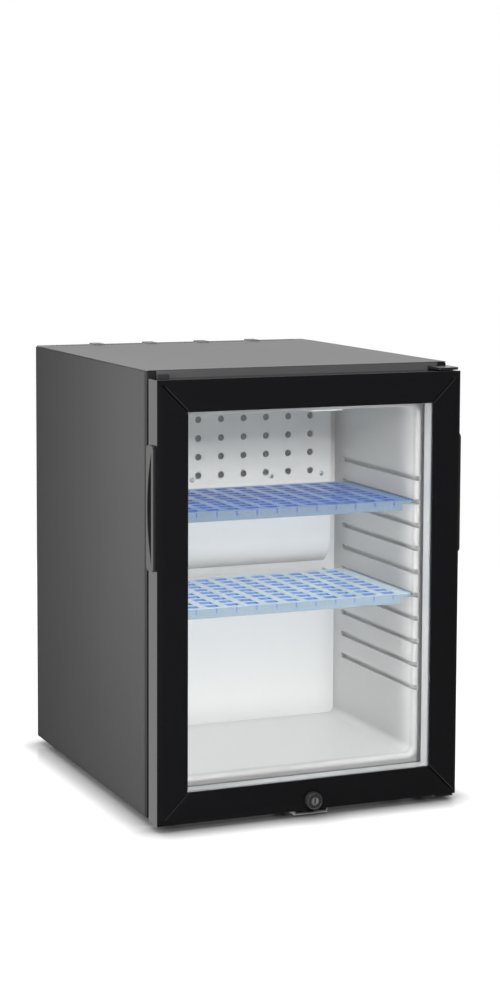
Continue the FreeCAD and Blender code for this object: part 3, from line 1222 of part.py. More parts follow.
def unit_brackets():
    """Two straps from the bulkhead to the boiler casing and two saddles under the drum."""
    pieces = []
    strap_xs = BOILER_LEFT, f"{BOILER_LEFT} + unit_bracket_wall"
    for index, low in enumerate(("unit_bracket_low", "unit_bracket_high")):
        strap_zs = low, f"{low} + unit_bracket_height"
        pieces.append(block(f"boiler_strap_{index}", strap_xs, (MACHINE_Y, BOILER_FRONT), strap_zs))
    ys = about(VESSEL_Y, "2 * vessel_radius")
    zs = f"{UNDER} + sheet_wall", "vessel_axis - vessel_radius / 2"
    for index, middle in enumerate(("-saddle_left", "saddle_right")):
        xs = about(middle, "saddle_width")
        saddle = block(f"saddle_block_{index}", xs, ys, zs)
        hollow = bore(f"saddle_round_{index}", "vessel_radius + saddle_clearance",
                      (xs[0], VESSEL_Y, "vessel_axis"), "saddle_width", "X")
        pieces.append(cut(f"saddle_{index}", saddle, [hollow]))
    keep(group("unit_fixings", pieces), "unit_brackets")


def control_box():
    """Closed plastic box on the right side sheet, open at the back for the inlet and the knob's shaft."""
    wall = "control_wall"
    ys = CONTROL_FRONT, CONTROL_BACK
    zs = "control_low", "control_low + control_height"
    back = f"({CONTROL_BACK} - {wall})"
    outer = block("box_outer", CONTROL_XS, ys, zs)
    hollow = block("box_hollow", inset(CONTROL_XS, wall), inset(ys, wall), inset(zs, wall))
    window = block("inlet_window", INLET_XS, outset((back, CONTROL_BACK)), INLET_ZS)
    shaft = bore("knob_hole", "knob_shaft_radius + running_clearance", (CONTROL_X, back, KNOB_Z), wall, "Y")
    keep(cut("box", outer, [hollow, window, shaft]), "control_box")


def mains_inlet():
    """Flanged inlet socket in the control box, with an empty recess for a plug."""
    shell = block("inlet_shell", INLET_XS, (f"{CONTROL_BACK} - inlet_depth", CONTROL_BACK), INLET_ZS)
    flange = block("inlet_flange", outset(INLET_XS, "inlet_lip"), (CONTROL_BACK, f"{CONTROL_BACK} + inlet_lip"),
                   outset(INLET_ZS, "inlet_lip"))
    recess_ys = f"{CONTROL_BACK} - inlet_recess", f"{CONTROL_BACK} + overrun"
    recess = block("inlet_hollow", inset(INLET_XS, "inlet_rim"), recess_ys, inset(INLET_ZS, "inlet_rim"))
    keep(cut("inlet", fuse("inlet_solid", [shell, flange]), [recess]), "mains_inlet")


def thermostat_knob():
    """Round knob with a pointer rib, its shaft through the back of the control box."""
    shaft = rod("knob_shaft", "knob_shaft_radius", (CONTROL_X, f"{CONTROL_BACK} - knob_shaft_length", KNOB_Z),
                "knob_shaft_length + knob_lift", "Y")
    face = f"({CONTROL_BACK} + knob_lift)"
    disc = rod("knob_disc", "knob_radius", (CONTROL_X, face, KNOB_Z), "knob_height", "Y")
    rib_ys = f"{face} + knob_height", f"{face} + knob_height + knob_rib_rise"
    rib_zs = KNOB_Z, f"{KNOB_Z} + knob_radius - knob_rib_width / 2"
    rib = block("knob_rib", about(CONTROL_X, "knob_rib_width"), rib_ys, rib_zs)
    keep(fuse("knob", [shaft, disc, rib]), "thermostat_knob")


def write_parts():
    """Check every object of the document, then write each sub-part to its own file."""
    doc.recompute()
    for thing in doc.Objects:
        if "Invalid" in thing.State or "Error" in thing.State:
            raise ValueError(f"{thing.Label} failed: {thing.State}")
    for part in parts:
        if part.Shape.isNull() or not part.Shape.isValid():
            raise ValueError(f"{part.Label} has no valid shape")
    os.makedirs("parts", exist_ok=True)
    for part in parts:
        part.Shape.exportStep(f"parts/{part.Label}.step")
        print(part.Label, len(part.Shape.Solids), round(part.Shape.Volume))


fill_sheet()
side_panel(-1, "side_panel_left")
side_panel(1, "side_panel_right")
top_panel()
top_front_rail()
base_plate()
rear_bulkhead()
insulation_boards()
inner_liner()
front_frame()
rear_vent_comb()
feet()
top_hinge_bracket()
bottom_hinge_bracket()
hinge_pins()
hinge_washers()
bracket_screws()
hinge_blank_cap()
lock_keeper()
door_bars()
corner_keys()
hinge_bushes()
glazing()
door_gasket()
door_grip(-1, "grip_left")
door_grip(1, "grip_right")
lock_case()
lock_works()
evaporator()
evaporator_cover()
cover_fixings()
drip_gutter()
drain_tube()
condensate_cup()
lamp()
shelf("upper_shelf", "upper_runner")
shelf("lower_shelf", "lower_runner")
boiler()
condenser()
condenser_fins()
absorber_vessel()
absorber_coil()
gas_exchanger()
solution_pipe()
unit_brackets()
control_box()
mains_inlet()
thermostat_knob()
write_parts()
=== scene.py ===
"""Looks of a minibar fridge with a glass door, built round its packed construction model."""

import json
import logging
import math
from dataclasses import dataclass, field
from enum import Enum
from typing import Callable, ClassVar, Iterable, Sequence

import bmesh
import bpy
from mathutils import Matrix, Vector


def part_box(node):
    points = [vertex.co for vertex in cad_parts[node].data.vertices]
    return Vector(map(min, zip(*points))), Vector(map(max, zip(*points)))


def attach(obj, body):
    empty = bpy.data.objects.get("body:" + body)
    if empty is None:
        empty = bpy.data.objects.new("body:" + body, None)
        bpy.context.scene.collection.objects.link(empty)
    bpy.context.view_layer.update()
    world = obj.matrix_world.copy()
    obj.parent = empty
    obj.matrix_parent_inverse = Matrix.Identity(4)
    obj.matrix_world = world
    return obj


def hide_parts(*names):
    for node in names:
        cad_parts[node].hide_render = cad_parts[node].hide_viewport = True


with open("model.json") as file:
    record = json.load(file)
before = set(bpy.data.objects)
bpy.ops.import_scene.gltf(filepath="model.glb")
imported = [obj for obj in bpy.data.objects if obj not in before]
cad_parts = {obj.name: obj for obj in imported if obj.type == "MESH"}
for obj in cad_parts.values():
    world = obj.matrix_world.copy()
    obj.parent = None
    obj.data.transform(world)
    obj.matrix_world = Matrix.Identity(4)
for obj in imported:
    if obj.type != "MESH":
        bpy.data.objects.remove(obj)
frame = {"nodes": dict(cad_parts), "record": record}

LOG = logging.getLogger("minibar")
Colour = tuple[float, float, float]
Tint = tuple[float, float, float, float]
Spot = tuple[float, float, float]
BMesh = bmesh.types.BMesh
Mesh = bpy.types.Mesh
Node = bpy.types.Node
Piece = bpy.types.Object
Socket = bpy.types.NodeSocket
Tree = bpy.types.NodeTree


class Slot(Enum):
    """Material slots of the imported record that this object's pieces use."""

    CABINET = "cabinet_coat"
    GALVANISED = "galvanised_steel"
    FOAM = "foam"
    LINER = "liner_white"
    TRIM = "trim_black"
    BRACKET = "bracket_black"
    BRIGHT_STEEL = "bright_steel"
    LOCK = "lock_chrome"
    DOOR = "door_black"
    GRIP = "grip_black"
    GLASS = "clear_glass"
    SILVER = "spacer_silver"
    GASKET = "gasket_grey"
    COVER = "cover_white"
    SPACER = "spacer_white"
    SHELF = "shelf_blue"
    LENS = "lamp_lens_clear"
    UNIT = "unit_black"


class Pattern(Enum):
    """Ways in which one small item is repeated."""

    SPOTS = "at given spots"
    ROW = "along a straight row"
    RING = "round a circle"


class Graph:
    """A short way to add and join the nodes of one tree."""

    def __init__(self, tree: Tree) -> None:
        """Keep the tree that is filled."""
        self.tree = tree

    @classmethod
    def cleared(cls, owner: bpy.types.Material | bpy.types.World) -> "Graph":
        """Empty the node tree of a material or world.

        Args:
            owner: The material or world.

        Returns:
            Its tree, ready to be filled.
        """
        owner.use_nodes = True
        owner.node_tree.nodes.clear()
        return cls(owner.node_tree)

    def add(self, kind: str, settings: dict | None = None, sides: Sequence = (), **values: object) -> Node:
        """Add a node; each input is linked to a socket or set to a plain value.

        Args:
            kind: Blender's name of the node type.
            settings: Properties of the node itself.
            sides: What the first inputs get, in their order.
            **values: What inputs get by name, with spaces written as underscores.

        Returns:
            The new node.
        """
        node = self.tree.nodes.new(kind)
        for name, value in (settings or {}).items():
            setattr(node, name, value)
        named = [(node.inputs[name.replace("_", " ")], value) for name, value in values.items()]
        for target, value in [*zip(node.inputs, sides), *named]:
            if isinstance(value, Socket):
                self.join(value, target)
            else:
                target.default_value = value
        return node

    def join(self, source: Socket, target: Socket) -> None:
        """Link an output to an input."""
        self.tree.links.new(source, target)

    def group(self, shared: "SharedGroup", **values: float) -> Node:
        """Add a shared group with its input values."""
        return self.add("ShaderNodeGroup", {"node_tree": shared.tree()}, **values)

    def math(self, operation: str, first: float | Socket, second: float | Socket) -> Socket:
        """Work out an operation, named as in Blender, on two sockets or numbers."""
        return self.add("ShaderNodeMath", {"operation": operation}, (first, second)).outputs[0]

    def mix(self, share: Socket, first: Tint | Socket, second: Tint | Socket) -> Socket:
        """Mix two colours; the share is that of the second."""
        return self.add("ShaderNodeMix", {"data_type": "RGBA"}, Factor=share, A=first, B=second).outputs["Result"]

    def darken(self, colour: Socket, share: Socket) -> Socket:
        """Keep a share of a colour."""
        return self.add("ShaderNodeVectorMath", {"operation": "SCALE"}, (colour,), Scale=share).outputs["Vector"]

    def mix_shaders(self, share: Socket, first: Node, second: Node) -> Socket:
        """Mix two shaders; the share is that of the second."""
        sides = (share, first.outputs["BSDF"], second.outputs["BSDF"])
        return self.add("ShaderNodeMixShader", None, sides).outputs["Shader"]

    def place(self, kind: str, axis: str) -> Socket:
        """Read one axis of a kind of texture coordinate."""
        spot = self.add("ShaderNodeTexCoord").outputs[kind]
        return self.add("ShaderNodeSeparateXYZ", Vector=spot).outputs[axis]


@dataclass(frozen=True)
class SharedGroup:
    """A shader group that several materials use; its sockets are all numbers.

    The inputs come with default values; fill adds the nodes and gives what goes to the outputs.
    """

    name: str
    inputs: dict[str, float]
    outputs: tuple[str, ...]
    fill: Callable[[Graph, Node], dict[str, Socket]]

    def tree(self) -> Tree:
        """Make the group once.

        Returns:
            The group's tree.
        """
        found = bpy.data.node_groups.get(self.name)
        if found:
            return found
        tree = bpy.data.node_groups.new(self.name, "ShaderNodeTree")
        for name, value in self.inputs.items():
            tree.interface.new_socket(name=name, in_out="INPUT", socket_type="NodeSocketFloat").default_value = value
        for name in self.outputs:
            tree.interface.new_socket(name=name, in_out="OUTPUT", socket_type="NodeSocketFloat")
        graph = Graph(tree)
        graph.add("NodeGroupOutput", **self.fill(graph, graph.add("NodeGroupInput")))
        return tree


def fill_skin(graph: Graph, start: Node) -> dict[str, Socket]:
    """Broad patches and a fine grain, from 0 to 1, of a moulded or painted skin.

    Args:
        graph: The group's tree.
        start: Its input node.

    Returns:
        What the group gives.
    """
    place = graph.add("ShaderNodeTexCoord").outputs["Object"]
    return {name: graph.add("ShaderNodeTexNoise", Detail=3.0, Roughness=0.55, Vector=place,
                            Scale=start.outputs[f"{name} Scale"]).outputs["Fac"] for name in ("Patch", "Grain")}


def fill_streaks(graph: Graph, start: Node) -> dict[str, Socket]:
    """Drawn or brushed streaks, from 0 to 1, that run along X.

    Args:
        graph: The group's tree.
        start: Its input node.

    Returns:
        What the group gives.
    """
    place = graph.add("ShaderNodeTexCoord").outputs["Object"]
    squeeze = graph.add("ShaderNodeCombineXYZ", X=start.outputs["Stretch"], Y=1.0, Z=1.0).outputs["Vector"]
    scaled = graph.add("ShaderNodeVectorMath", {"operation": "MULTIPLY"}, (place, squeeze)).outputs["Vector"]
    noise = graph.add("ShaderNodeTexNoise", Detail=2.0, Roughness=0.6, Vector=scaled,
                      Scale=start.outputs["Streak Scale"])
    return {"Streak": noise.outputs["Fac"]}


def fill_dust(graph: Graph, start: Node) -> dict[str, Socket]:
    """Thin dust, from 0 to 1, that settles on faces that look up.

    Args:
        graph: The group's tree.
        start: Its input node.

    Returns:
        What the group gives.
    """
    normal = graph.add("ShaderNodeNewGeometry").outputs["Normal"]
    facing_up = graph.math("MAXIMUM", graph.add("ShaderNodeSeparateXYZ", Vector=normal).outputs["Z"], 0.0)
    place = graph.add("ShaderNodeTexCoord").outputs["Object"]
    noise = graph.add("ShaderNodeTexNoise", Scale=45.0, Detail=5.0, Roughness=0.65, Vector=place)
    amount = graph.math("MULTIPLY", facing_up, noise.outputs["Fac"])
    return {"Dust": graph.math("MULTIPLY", amount, start.outputs["Amount"])}


def fill_painted_shade(graph: Graph, start: Node) -> dict[str, Socket]:
    """Painted shade from ambient occlusion: 1 on open faces and less in corners, grooves and narrow gaps.

    Args:
        graph: The group's tree.
        start: Its input node.

    Returns:
        What the group gives.
    """
    painted_shade = graph.add("ShaderNodeAmbientOcclusion", {"samples": 8}, Distance=start.outputs["Reach"])
    hidden = graph.math("SUBTRACT", 1.0, painted_shade.outputs["AO"])
    return {"Open": graph.math("SUBTRACT", 1.0, graph.math("MULTIPLY", hidden, start.outputs["Amount"]))}


SKIN = SharedGroup("painted_skin", {"Patch Scale": 6.0, "Grain Scale": 900.0}, ("Patch", "Grain"), fill_skin)
STREAKS = SharedGroup("drawn_streaks", {"Streak Scale": 1500.0, "Stretch": 0.02}, ("Streak",), fill_streaks)
DUST = SharedGroup("settled_dust", {"Amount": 0.1}, ("Dust",), fill_dust)
# Painted shade for corners, grooves and narrow gaps; the floor also takes its painted contact shadow from it.
PAINTED_SHADE = SharedGroup("painted_corner_shade", {"Amount": 0.5, "Reach": 0.02}, ("Open",), fill_painted_shade)
DUST_COLOUR: Tint = (0.42, 0.4, 0.37, 1.0)
WHITE: Tint = (1.0, 1.0, 1.0, 1.0)


@dataclass(frozen=True)
class Finish:
    """A painted, moulded or rubber surface.

    Scales are waves per metre; grain_height and the reach of the painted corner shade are in metres. shade is how
    much darker its patches get, spread how far the grain moves the roughness, and the corner amount how much shade
    is painted into corners, grooves and narrow gaps.
    """

    name: str
    colour: Colour
    roughness: float
    shade: float = 0.12
    patch_scale: float = 6.0
    grain_scale: float = 900.0
    grain_height: float = 0.00002
    spread: float = 0.08
    specular: float = 0.5
    metallic: float = 0.0
    coat: float = 0.0
    coat_roughness: float = 0.1
    dust: float = 0.0
    painted_shade: float = 0.0
    painted_shade_reach: float = 0.02

    def shader(self, graph: Graph) -> Node:
        """Add the surface shader with its constant values."""
        return graph.add("ShaderNodeBsdfPrincipled", Metallic=self.metallic, Specular_IOR_Level=self.specular,
                         Coat_Weight=self.coat, Coat_Roughness=self.coat_roughness)

    def opaque(self, share: float = 1.0) -> Tint:
        """A share of the colour, with nothing seen through it."""
        return (*(value * share for value in self.colour), 1.0)

    def paint(self, graph: Graph, shader: Node) -> None:
        """Feed colour, roughness and grain to the shader.

        Args:
            graph: The material's tree.
            shader: The surface shader.
        """
        skin = graph.group(SKIN, Patch_Scale=self.patch_scale, Grain_Scale=self.grain_scale).outputs
        colour = graph.mix(skin["Patch"], self.opaque(1.0 - self.shade), self.opaque())
        if self.dust:
            colour = graph.mix(graph.group(DUST, Amount=self.dust).outputs["Dust"], colour, DUST_COLOUR)
        # Shade painted into the colour in corners, grooves and narrow gaps.
        if self.painted_shade:
            painted_shade = graph.group(PAINTED_SHADE, Amount=self.painted_shade, Reach=self.painted_shade_reach)
            colour = graph.darken(colour, painted_shade.outputs["Open"])
        graph.join(colour, shader.inputs["Base Color"])
        self.roughen(graph, shader, skin["Grain"])

    def roughen(self, graph: Graph, shader: Node, grain: Socket) -> None:
        """Let a grain mask drive roughness and a slight bump.

        Args:
            graph: The material's tree.
            shader: The surface shader.
            grain: A mask from 0 to 1.
        """
        ramp = graph.add("ShaderNodeMapRange", To_Min=max(self.roughness - self.spread, 0.0),
                         To_Max=self.roughness + self.spread, Value=grain)
        graph.join(ramp.outputs["Result"], shader.inputs["Roughness"])
        if self.grain_height:
            bump = graph.add("ShaderNodeBump", Strength=1.0, Distance=self.grain_height, Height=grain)
            graph.join(bump.outputs["Normal"], shader.inputs["Normal"])

    def surface(self, graph: Graph, shader: Node) -> Socket:
        """The socket that goes to the material's output; plain surfaces use the shader as it is."""
        return shader.outputs["BSDF"]

    def material(self) -> bpy.types.Material:
        """Make the material once.

        Returns:
            The material of this finish.
        """
        found = bpy.data.materials.get(self.name)
        if found:
            return found
        material = bpy.data.materials.new(self.name)
        graph = Graph.cleared(material)
        shader = self.shader(graph)
        self.paint(graph, shader)
        graph.add("ShaderNodeOutputMaterial", Surface=self.surface(graph, shader))
        return material


@dataclass(frozen=True)
class SheetWithPaintedFoldShade(Finish):
    """Coated sheet with painted shade in a band along its front edge, standing in for a fold that the mesh doesn't
    have.

    The painted shade band is a share of the sheet's depth and its blur a share of the band; the keep value
    is how much colour stays there.
    """

    shade_band: float = 0.019
    shade_band_keep: float = 0.5
    shade_band_blur: float = 0.2

    def paint(self, graph: Graph, shader: Node) -> None:
        """Feed the coat, with painted shade in the band along the front edge.

        Args:
            graph: The material's tree.
            shader: The surface shader.
        """
        super().paint(graph, shader)
        coat = shader.inputs["Base Color"]
        # Painted shade: the colour is darkened near the front edge, by share of the sheet's depth.
        light = graph.add("ShaderNodeMapRange", From_Min=self.shade_band * (1.0 - self.shade_band_blur),
                          From_Max=self.shade_band * (1.0 + self.shade_band_blur), To_Min=self.shade_band_keep,
                          Value=graph.place("Generated", "Y"))
        graph.join(graph.darken(coat.links[0].from_socket, light.outputs["Result"]), coat)


@dataclass(frozen=True)
class DrawnMetal(Finish):
    """Bare metal with fine streaks from drawing or brushing; streak_scale is in waves per metre."""

    metallic: float = 1.0
    streak_scale: float = 1500.0
    grain_height: float = 0.000006

    def paint(self, graph: Graph, shader: Node) -> None:
        """Feed streaked colour and roughness to the shader.

        Args:
            graph: The material's tree.
            shader: The surface shader.
        """
        streak = graph.group(STREAKS, Streak_Scale=self.streak_scale).outputs["Streak"]
        graph.join(graph.mix(streak, self.opaque(1.0 - self.shade), self.opaque()), shader.inputs["Base Color"])
        self.roughen(graph, shader, streak)


@dataclass(frozen=True)
class ClearFinish(Finish):
    """Glass or clear plastic; shadow_tint colours the soft light that passes straight through it."""

    transmission: float = 1.0
    ior: float = 1.5
    shadow_tint: Colour = (1.0, 1.0, 1.0)

    def shader(self, graph: Graph) -> Node:
        """Add a transmitting shader."""
        return graph.add("ShaderNodeBsdfPrincipled", IOR=self.ior, Transmission_Weight=self.transmission,
                         Specular_IOR_Level=self.specular)

    def surface(self, graph: Graph, shader: Node) -> Socket:
        """Let shadow and diffuse rays pass straight through.

        Args:
            graph: The material's tree.
            shader: The transmitting shader.

        Returns:
            The mixed surface.
        """
        path = graph.add("ShaderNodeLightPath").outputs
        soft = graph.math("MAXIMUM", path["Is Shadow Ray"], path["Is Diffuse Ray"])
        clear = graph.add("ShaderNodeBsdfTransparent", Color=(*self.shadow_tint, 1.0))
        return graph.mix_shaders(soft, shader, clear)


@dataclass(frozen=True)
class ShelfFinish(ClearFinish):
    """Tinted clear plastic: pale on its broad faces, deep on its walls and where ribs stand behind its lip.

    The pitch and half width of the ribs are in metres; rib_share is how far down the lip they reach.
    """

    specular: float = 0.2
    deep: Colour = (0.003, 0.03, 0.24)
    lip: Colour = (0.12, 0.18, 0.25)
    rib_pitch: float = 0.0268
    rib_half: float = 0.0009
    rib_share: float = 0.55

    def paint(self, graph: Graph, shader: Node) -> None:
        """Feed the pale colour, and the others where the mesh's marks ask for them.

        Args:
            graph: The material's tree.
            shader: The surface shader.
        """
        super().paint(graph, shader)
        coat = shader.inputs["Base Color"]
        wall, lip = (graph.add("ShaderNodeAttribute", {"attribute_name": mark}).outputs["Fac"]
                     for mark in ("wall", "lip"))
        across = graph.math("PINGPONG", graph.place("Object", "X"), self.rib_pitch / 2)
        high = graph.math("GREATER_THAN", graph.place("Generated", "Z"), 1.0 - self.rib_share)
        rib = graph.math("MULTIPLY", graph.math("LESS_THAN", across, self.rib_half), graph.math("MULTIPLY", lip, high))
        colour = graph.mix(lip, coat.links[0].from_socket, (*self.lip, 1.0))
        graph.join(graph.mix(graph.math("MAXIMUM", wall, rib), colour, (*self.deep, 1.0)), coat)


@dataclass(frozen=True)
class GlowFinish(Finish):
    """Frosted lamp lens that gives a little light of its own; glow is its strength."""

    glow: float = 0.5

    def shader(self, graph: Graph) -> Node:
        """Add a glowing shader.

        Args:
            graph: The material's tree.

        Returns:
            The shader node.
        """
        shader = super().shader(graph)
        shader.inputs["Emission Color"].default_value = self.opaque()
        shader.inputs["Emission Strength"].default_value = self.glow
        return shader


# The corner values below paint shade into the cabinet's gap by the door, the liner's grooves and the corners of the
# cover and frame.
FINISHES: dict[Slot, Finish] = {
    Slot.CABINET: Finish("satin_charcoal_coat", (0.054, 0.054, 0.0545), 0.42, grain_scale=1400.0,
                         grain_height=0.00004, spread=0.06, specular=0.3, painted_shade=0.95),
    Slot.GALVANISED: Finish("galvanised_sheet", (0.42, 0.43, 0.44), 0.42, shade=0.3, patch_scale=60.0,
                            metallic=1.0, spread=0.12, dust=0.2),
    Slot.FOAM: Finish("rigid_foam", (0.72, 0.62, 0.36), 0.9, shade=0.2, patch_scale=40.0, grain_height=0.0004),
    Slot.LINER: Finish("white_liner", (0.62, 0.617, 0.612), 0.34, shade=0.03, grain_scale=500.0,
                       grain_height=0.000008, painted_shade=0.3, painted_shade_reach=0.03),
    Slot.TRIM: Finish("black_moulding", (0.018, 0.018, 0.019), 0.45, grain_scale=1800.0, grain_height=0.00005),
    Slot.BRACKET: Finish("black_coated_steel", (0.012, 0.012, 0.013), 0.32, grain_scale=1600.0),
    Slot.BRIGHT_STEEL: DrawnMetal("zinc_plated_steel", (0.62, 0.62, 0.63), 0.3, shade=0.15),
    Slot.LOCK: DrawnMetal("satin_plated_lock", (0.03, 0.03, 0.0305), 0.28, shade=0.2, streak_scale=2500.0,
                          metallic=0.45),
    Slot.DOOR: Finish("gloss_black_frame", (0.0035, 0.0035, 0.004), 0.12, shade=0.2, grain_scale=300.0,
                      grain_height=0.000008, spread=0.03, specular=0.65),
    Slot.GRIP: Finish("textured_black_grip", (0.012, 0.012, 0.0125), 0.4, grain_scale=2400.0, grain_height=0.00005),
    Slot.GLASS: ClearFinish("clear_pane", (0.985, 0.99, 0.988), 0.0, shade=0.01, spread=0.0, grain_height=0.0),
    Slot.SILVER: DrawnMetal("drawn_aluminium", (0.44, 0.445, 0.45), 0.38, shade=0.12, metallic=0.3),
    Slot.GASKET: Finish("soft_seal", (0.035, 0.035, 0.038), 0.6, grain_scale=1200.0),
    Slot.COVER: Finish("white_coated_sheet", (0.68, 0.677, 0.672), 0.36, shade=0.04, grain_scale=1100.0,
                       grain_height=0.000008, painted_shade=0.4),
    Slot.SPACER: Finish("white_moulding", (0.68, 0.69, 0.69), 0.42, shade=0.06),
    Slot.SHELF: ShelfFinish("pale_blue_plastic", (0.6, 0.75, 0.87), 0.25, shade=0.08, transmission=0.25, ior=1.49,
                            grain_scale=700.0, grain_height=0.00001, shadow_tint=(0.86, 0.89, 0.92),
                            deep=(0.08, 0.19, 0.46), lip=(0.24, 0.32, 0.38)),
    Slot.LENS: GlowFinish("frosted_lens", (0.86, 0.88, 0.88), 0.35, shade=0.04, glow=0.4),
    Slot.UNIT: Finish("black_lacquer", (0.02, 0.02, 0.021), 0.3, shade=0.25, patch_scale=25.0, grain_scale=600.0,
                      grain_height=0.00008, dust=0.25),
}

# The cabinet's charcoal coat, painted about half as light on the side sheets: painted shade.
SHADED_SIDE_SHEET = SheetWithPaintedFoldShade("side_sheet_painted_shade", (0.0275, 0.0275, 0.028), 0.5, grain_scale=1400.0,
                         grain_height=0.00004, spread=0.06, specular=0.01, painted_shade=0.95)

OWN_FINISHES: dict[str, Finish] = {
    "side_panel_left": SHADED_SIDE_SHEET,
    "side_panel_right": SHADED_SIDE_SHEET,
    # The frame is the liner's white plastic, painted greyer against the front lamp's strong light: painted shade.
    "front_frame": Finish("frame_white_painted_shade", (0.5, 0.498, 0.494), 0.36, shade=0.04, grain_scale=500.0,
                          grain_height=0.000008, painted_shade=0.6),
    # The rail is the black trim moulding, painted lighter grey for the light it reflects: painted reflection.
    "top_front_rail": Finish("rail_painted_sheen", (0.05, 0.05, 0.051), 0.42, grain_scale=1800.0, grain_height=0.00004),
    "rear_vent_comb": Finish("grey_comb", (0.09, 0.09, 0.091), 0.5, grain_scale=1800.0, grain_height=0.00004),
    # The upper shelf is the same plastic as the lower, painted a darker, deeper blue: painted shade.
    "upper_shelf": ShelfFinish("upper_shelf_painted_shade", (0.05, 0.22, 0.54), 0.25, shade=0.1, transmission=0.06, ior=1.49,
                               grain_scale=700.0, grain_height=0.00001, shadow_tint=(0.82, 0.86, 0.9)),
    # The evaporator's aluminium is painted dark for the shade it lies in behind the perforated cover: painted shade.
    "evaporator": DrawnMetal("evaporator_painted_shade", (0.14, 0.14, 0.143), 0.45, metallic=0.4),
    # The plug is painted lighter than the lock for the bright spot at its middle: painted highlight.
    "lock_plug": DrawnMetal("plug_painted_highlight", (0.2, 0.2, 0.203), 0.25, shade=0.3, streak_scale=3000.0, metallic=0.5),
    "lock_keeper": DrawnMetal("zinc_keeper", (0.17, 0.17, 0.173), 0.4, shade=0.15, metallic=0.3),
}


def body_of(node: str) -> str:
    """Name of the body that a construction node belongs to."""
    bodies = frame["record"]["behaviour"]["bodies"]
    return next(name for name, nodes in bodies.items() if node in nodes)


def slot_of(node: str) -> Slot:
    """Material slot that the record gives a construction node."""
    return Slot(next(part["material_slot"] for part in frame["record"]["subparts"] if part["node"] == node))


def finish_of(node: str) -> Finish:
    """Finish of a construction node: its own, or else that of its slot."""
    return OWN_FINISHES.get(node) or FINISHES[slot_of(node)]


def dress(piece: Piece, finish: Finish) -> None:
    """Put one finish on a whole piece."""
    piece.data.materials.clear()
    piece.data.materials.append(finish.material())


def add_object(name: str, data: bpy.types.ID) -> Piece:
    """Make an object and link it to the scene.

    Args:
        name: Its name.
        data: Its mesh, lamp or camera.

    Returns:
        The object.
    """
    thing = bpy.data.objects.new(name, data)
    bpy.context.scene.collection.objects.link(thing)
    return thing


def new_piece(name: str, mesh: Mesh, body: str, slot: Slot, replaces: Iterable[str] = ()) -> Piece:
    """Add a finished mesh to the object.

    Args:
        name: The piece's name.
        mesh: Its mesh, already in place.
        body: The body that it moves with.
        slot: The material slot that it is dressed from.
        replaces: Construction nodes that it stands for.

    Returns:
        The new object.
    """
    piece = add_object(name, mesh)
    dress(piece, FINISHES[slot])
    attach(piece, body)
    for node in replaces:
        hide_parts(node)
    LOG.info("%s rides on %s", name, body)
    return piece


def evaluated_mesh(piece: Piece) -> Mesh:
    """Plain new mesh of an object with its modifiers worked out."""
    graph = bpy.context.evaluated_depsgraph_get()
    return bpy.data.meshes.new_from_object(piece.evaluated_get(graph))


def mesh_from(build: Callable[[BMesh], None], name: str) -> Mesh:
    """Make a mesh with a function that fills a bmesh.

    Args:
        build: Fills the bmesh.
        name: Name of the mesh.

    Returns:
        The mesh, normals outwards.
    """
    work = bmesh.new()
    build(work)
    bmesh.ops.remove_doubles(work, verts=work.verts, dist=1e-7)
    bmesh.ops.recalc_face_normals(work, faces=work.faces)
    mesh = bpy.data.meshes.new(name)
    work.to_mesh(mesh)
    work.free()
    return mesh


def block(name: str, sides: Spot) -> Mesh:
    """Make a block round its own origin from the lengths of its sides."""
    matrix = Matrix.Diagonal((*sides, 1.0))
    return mesh_from(lambda work: bmesh.ops.create_cube(work, size=1.0, matrix=matrix), name)


def bridge(work: BMesh, first: Sequence[bmesh.types.BMVert], second: Sequence[bmesh.types.BMVert]) -> None:
    """Join two closed loops of equal length with four-sided faces.

    Args:
        work: The bmesh to fill.
        first: Vertices of one loop.
        second: Vertices of the other.
    """
    for index in range(len(first)):
        following = (index + 1) % len(first)
        work.faces.new((first[index], first[following], second[following], second[index]))


def smooth_by_angle(mesh: Mesh, degrees: float = 40.0) -> None:
    """Shade a mesh smooth, but keep edges sharper than an angle."""
    mesh.shade_smooth()
    mesh.set_sharp_from_angle(angle=math.radians(degrees))


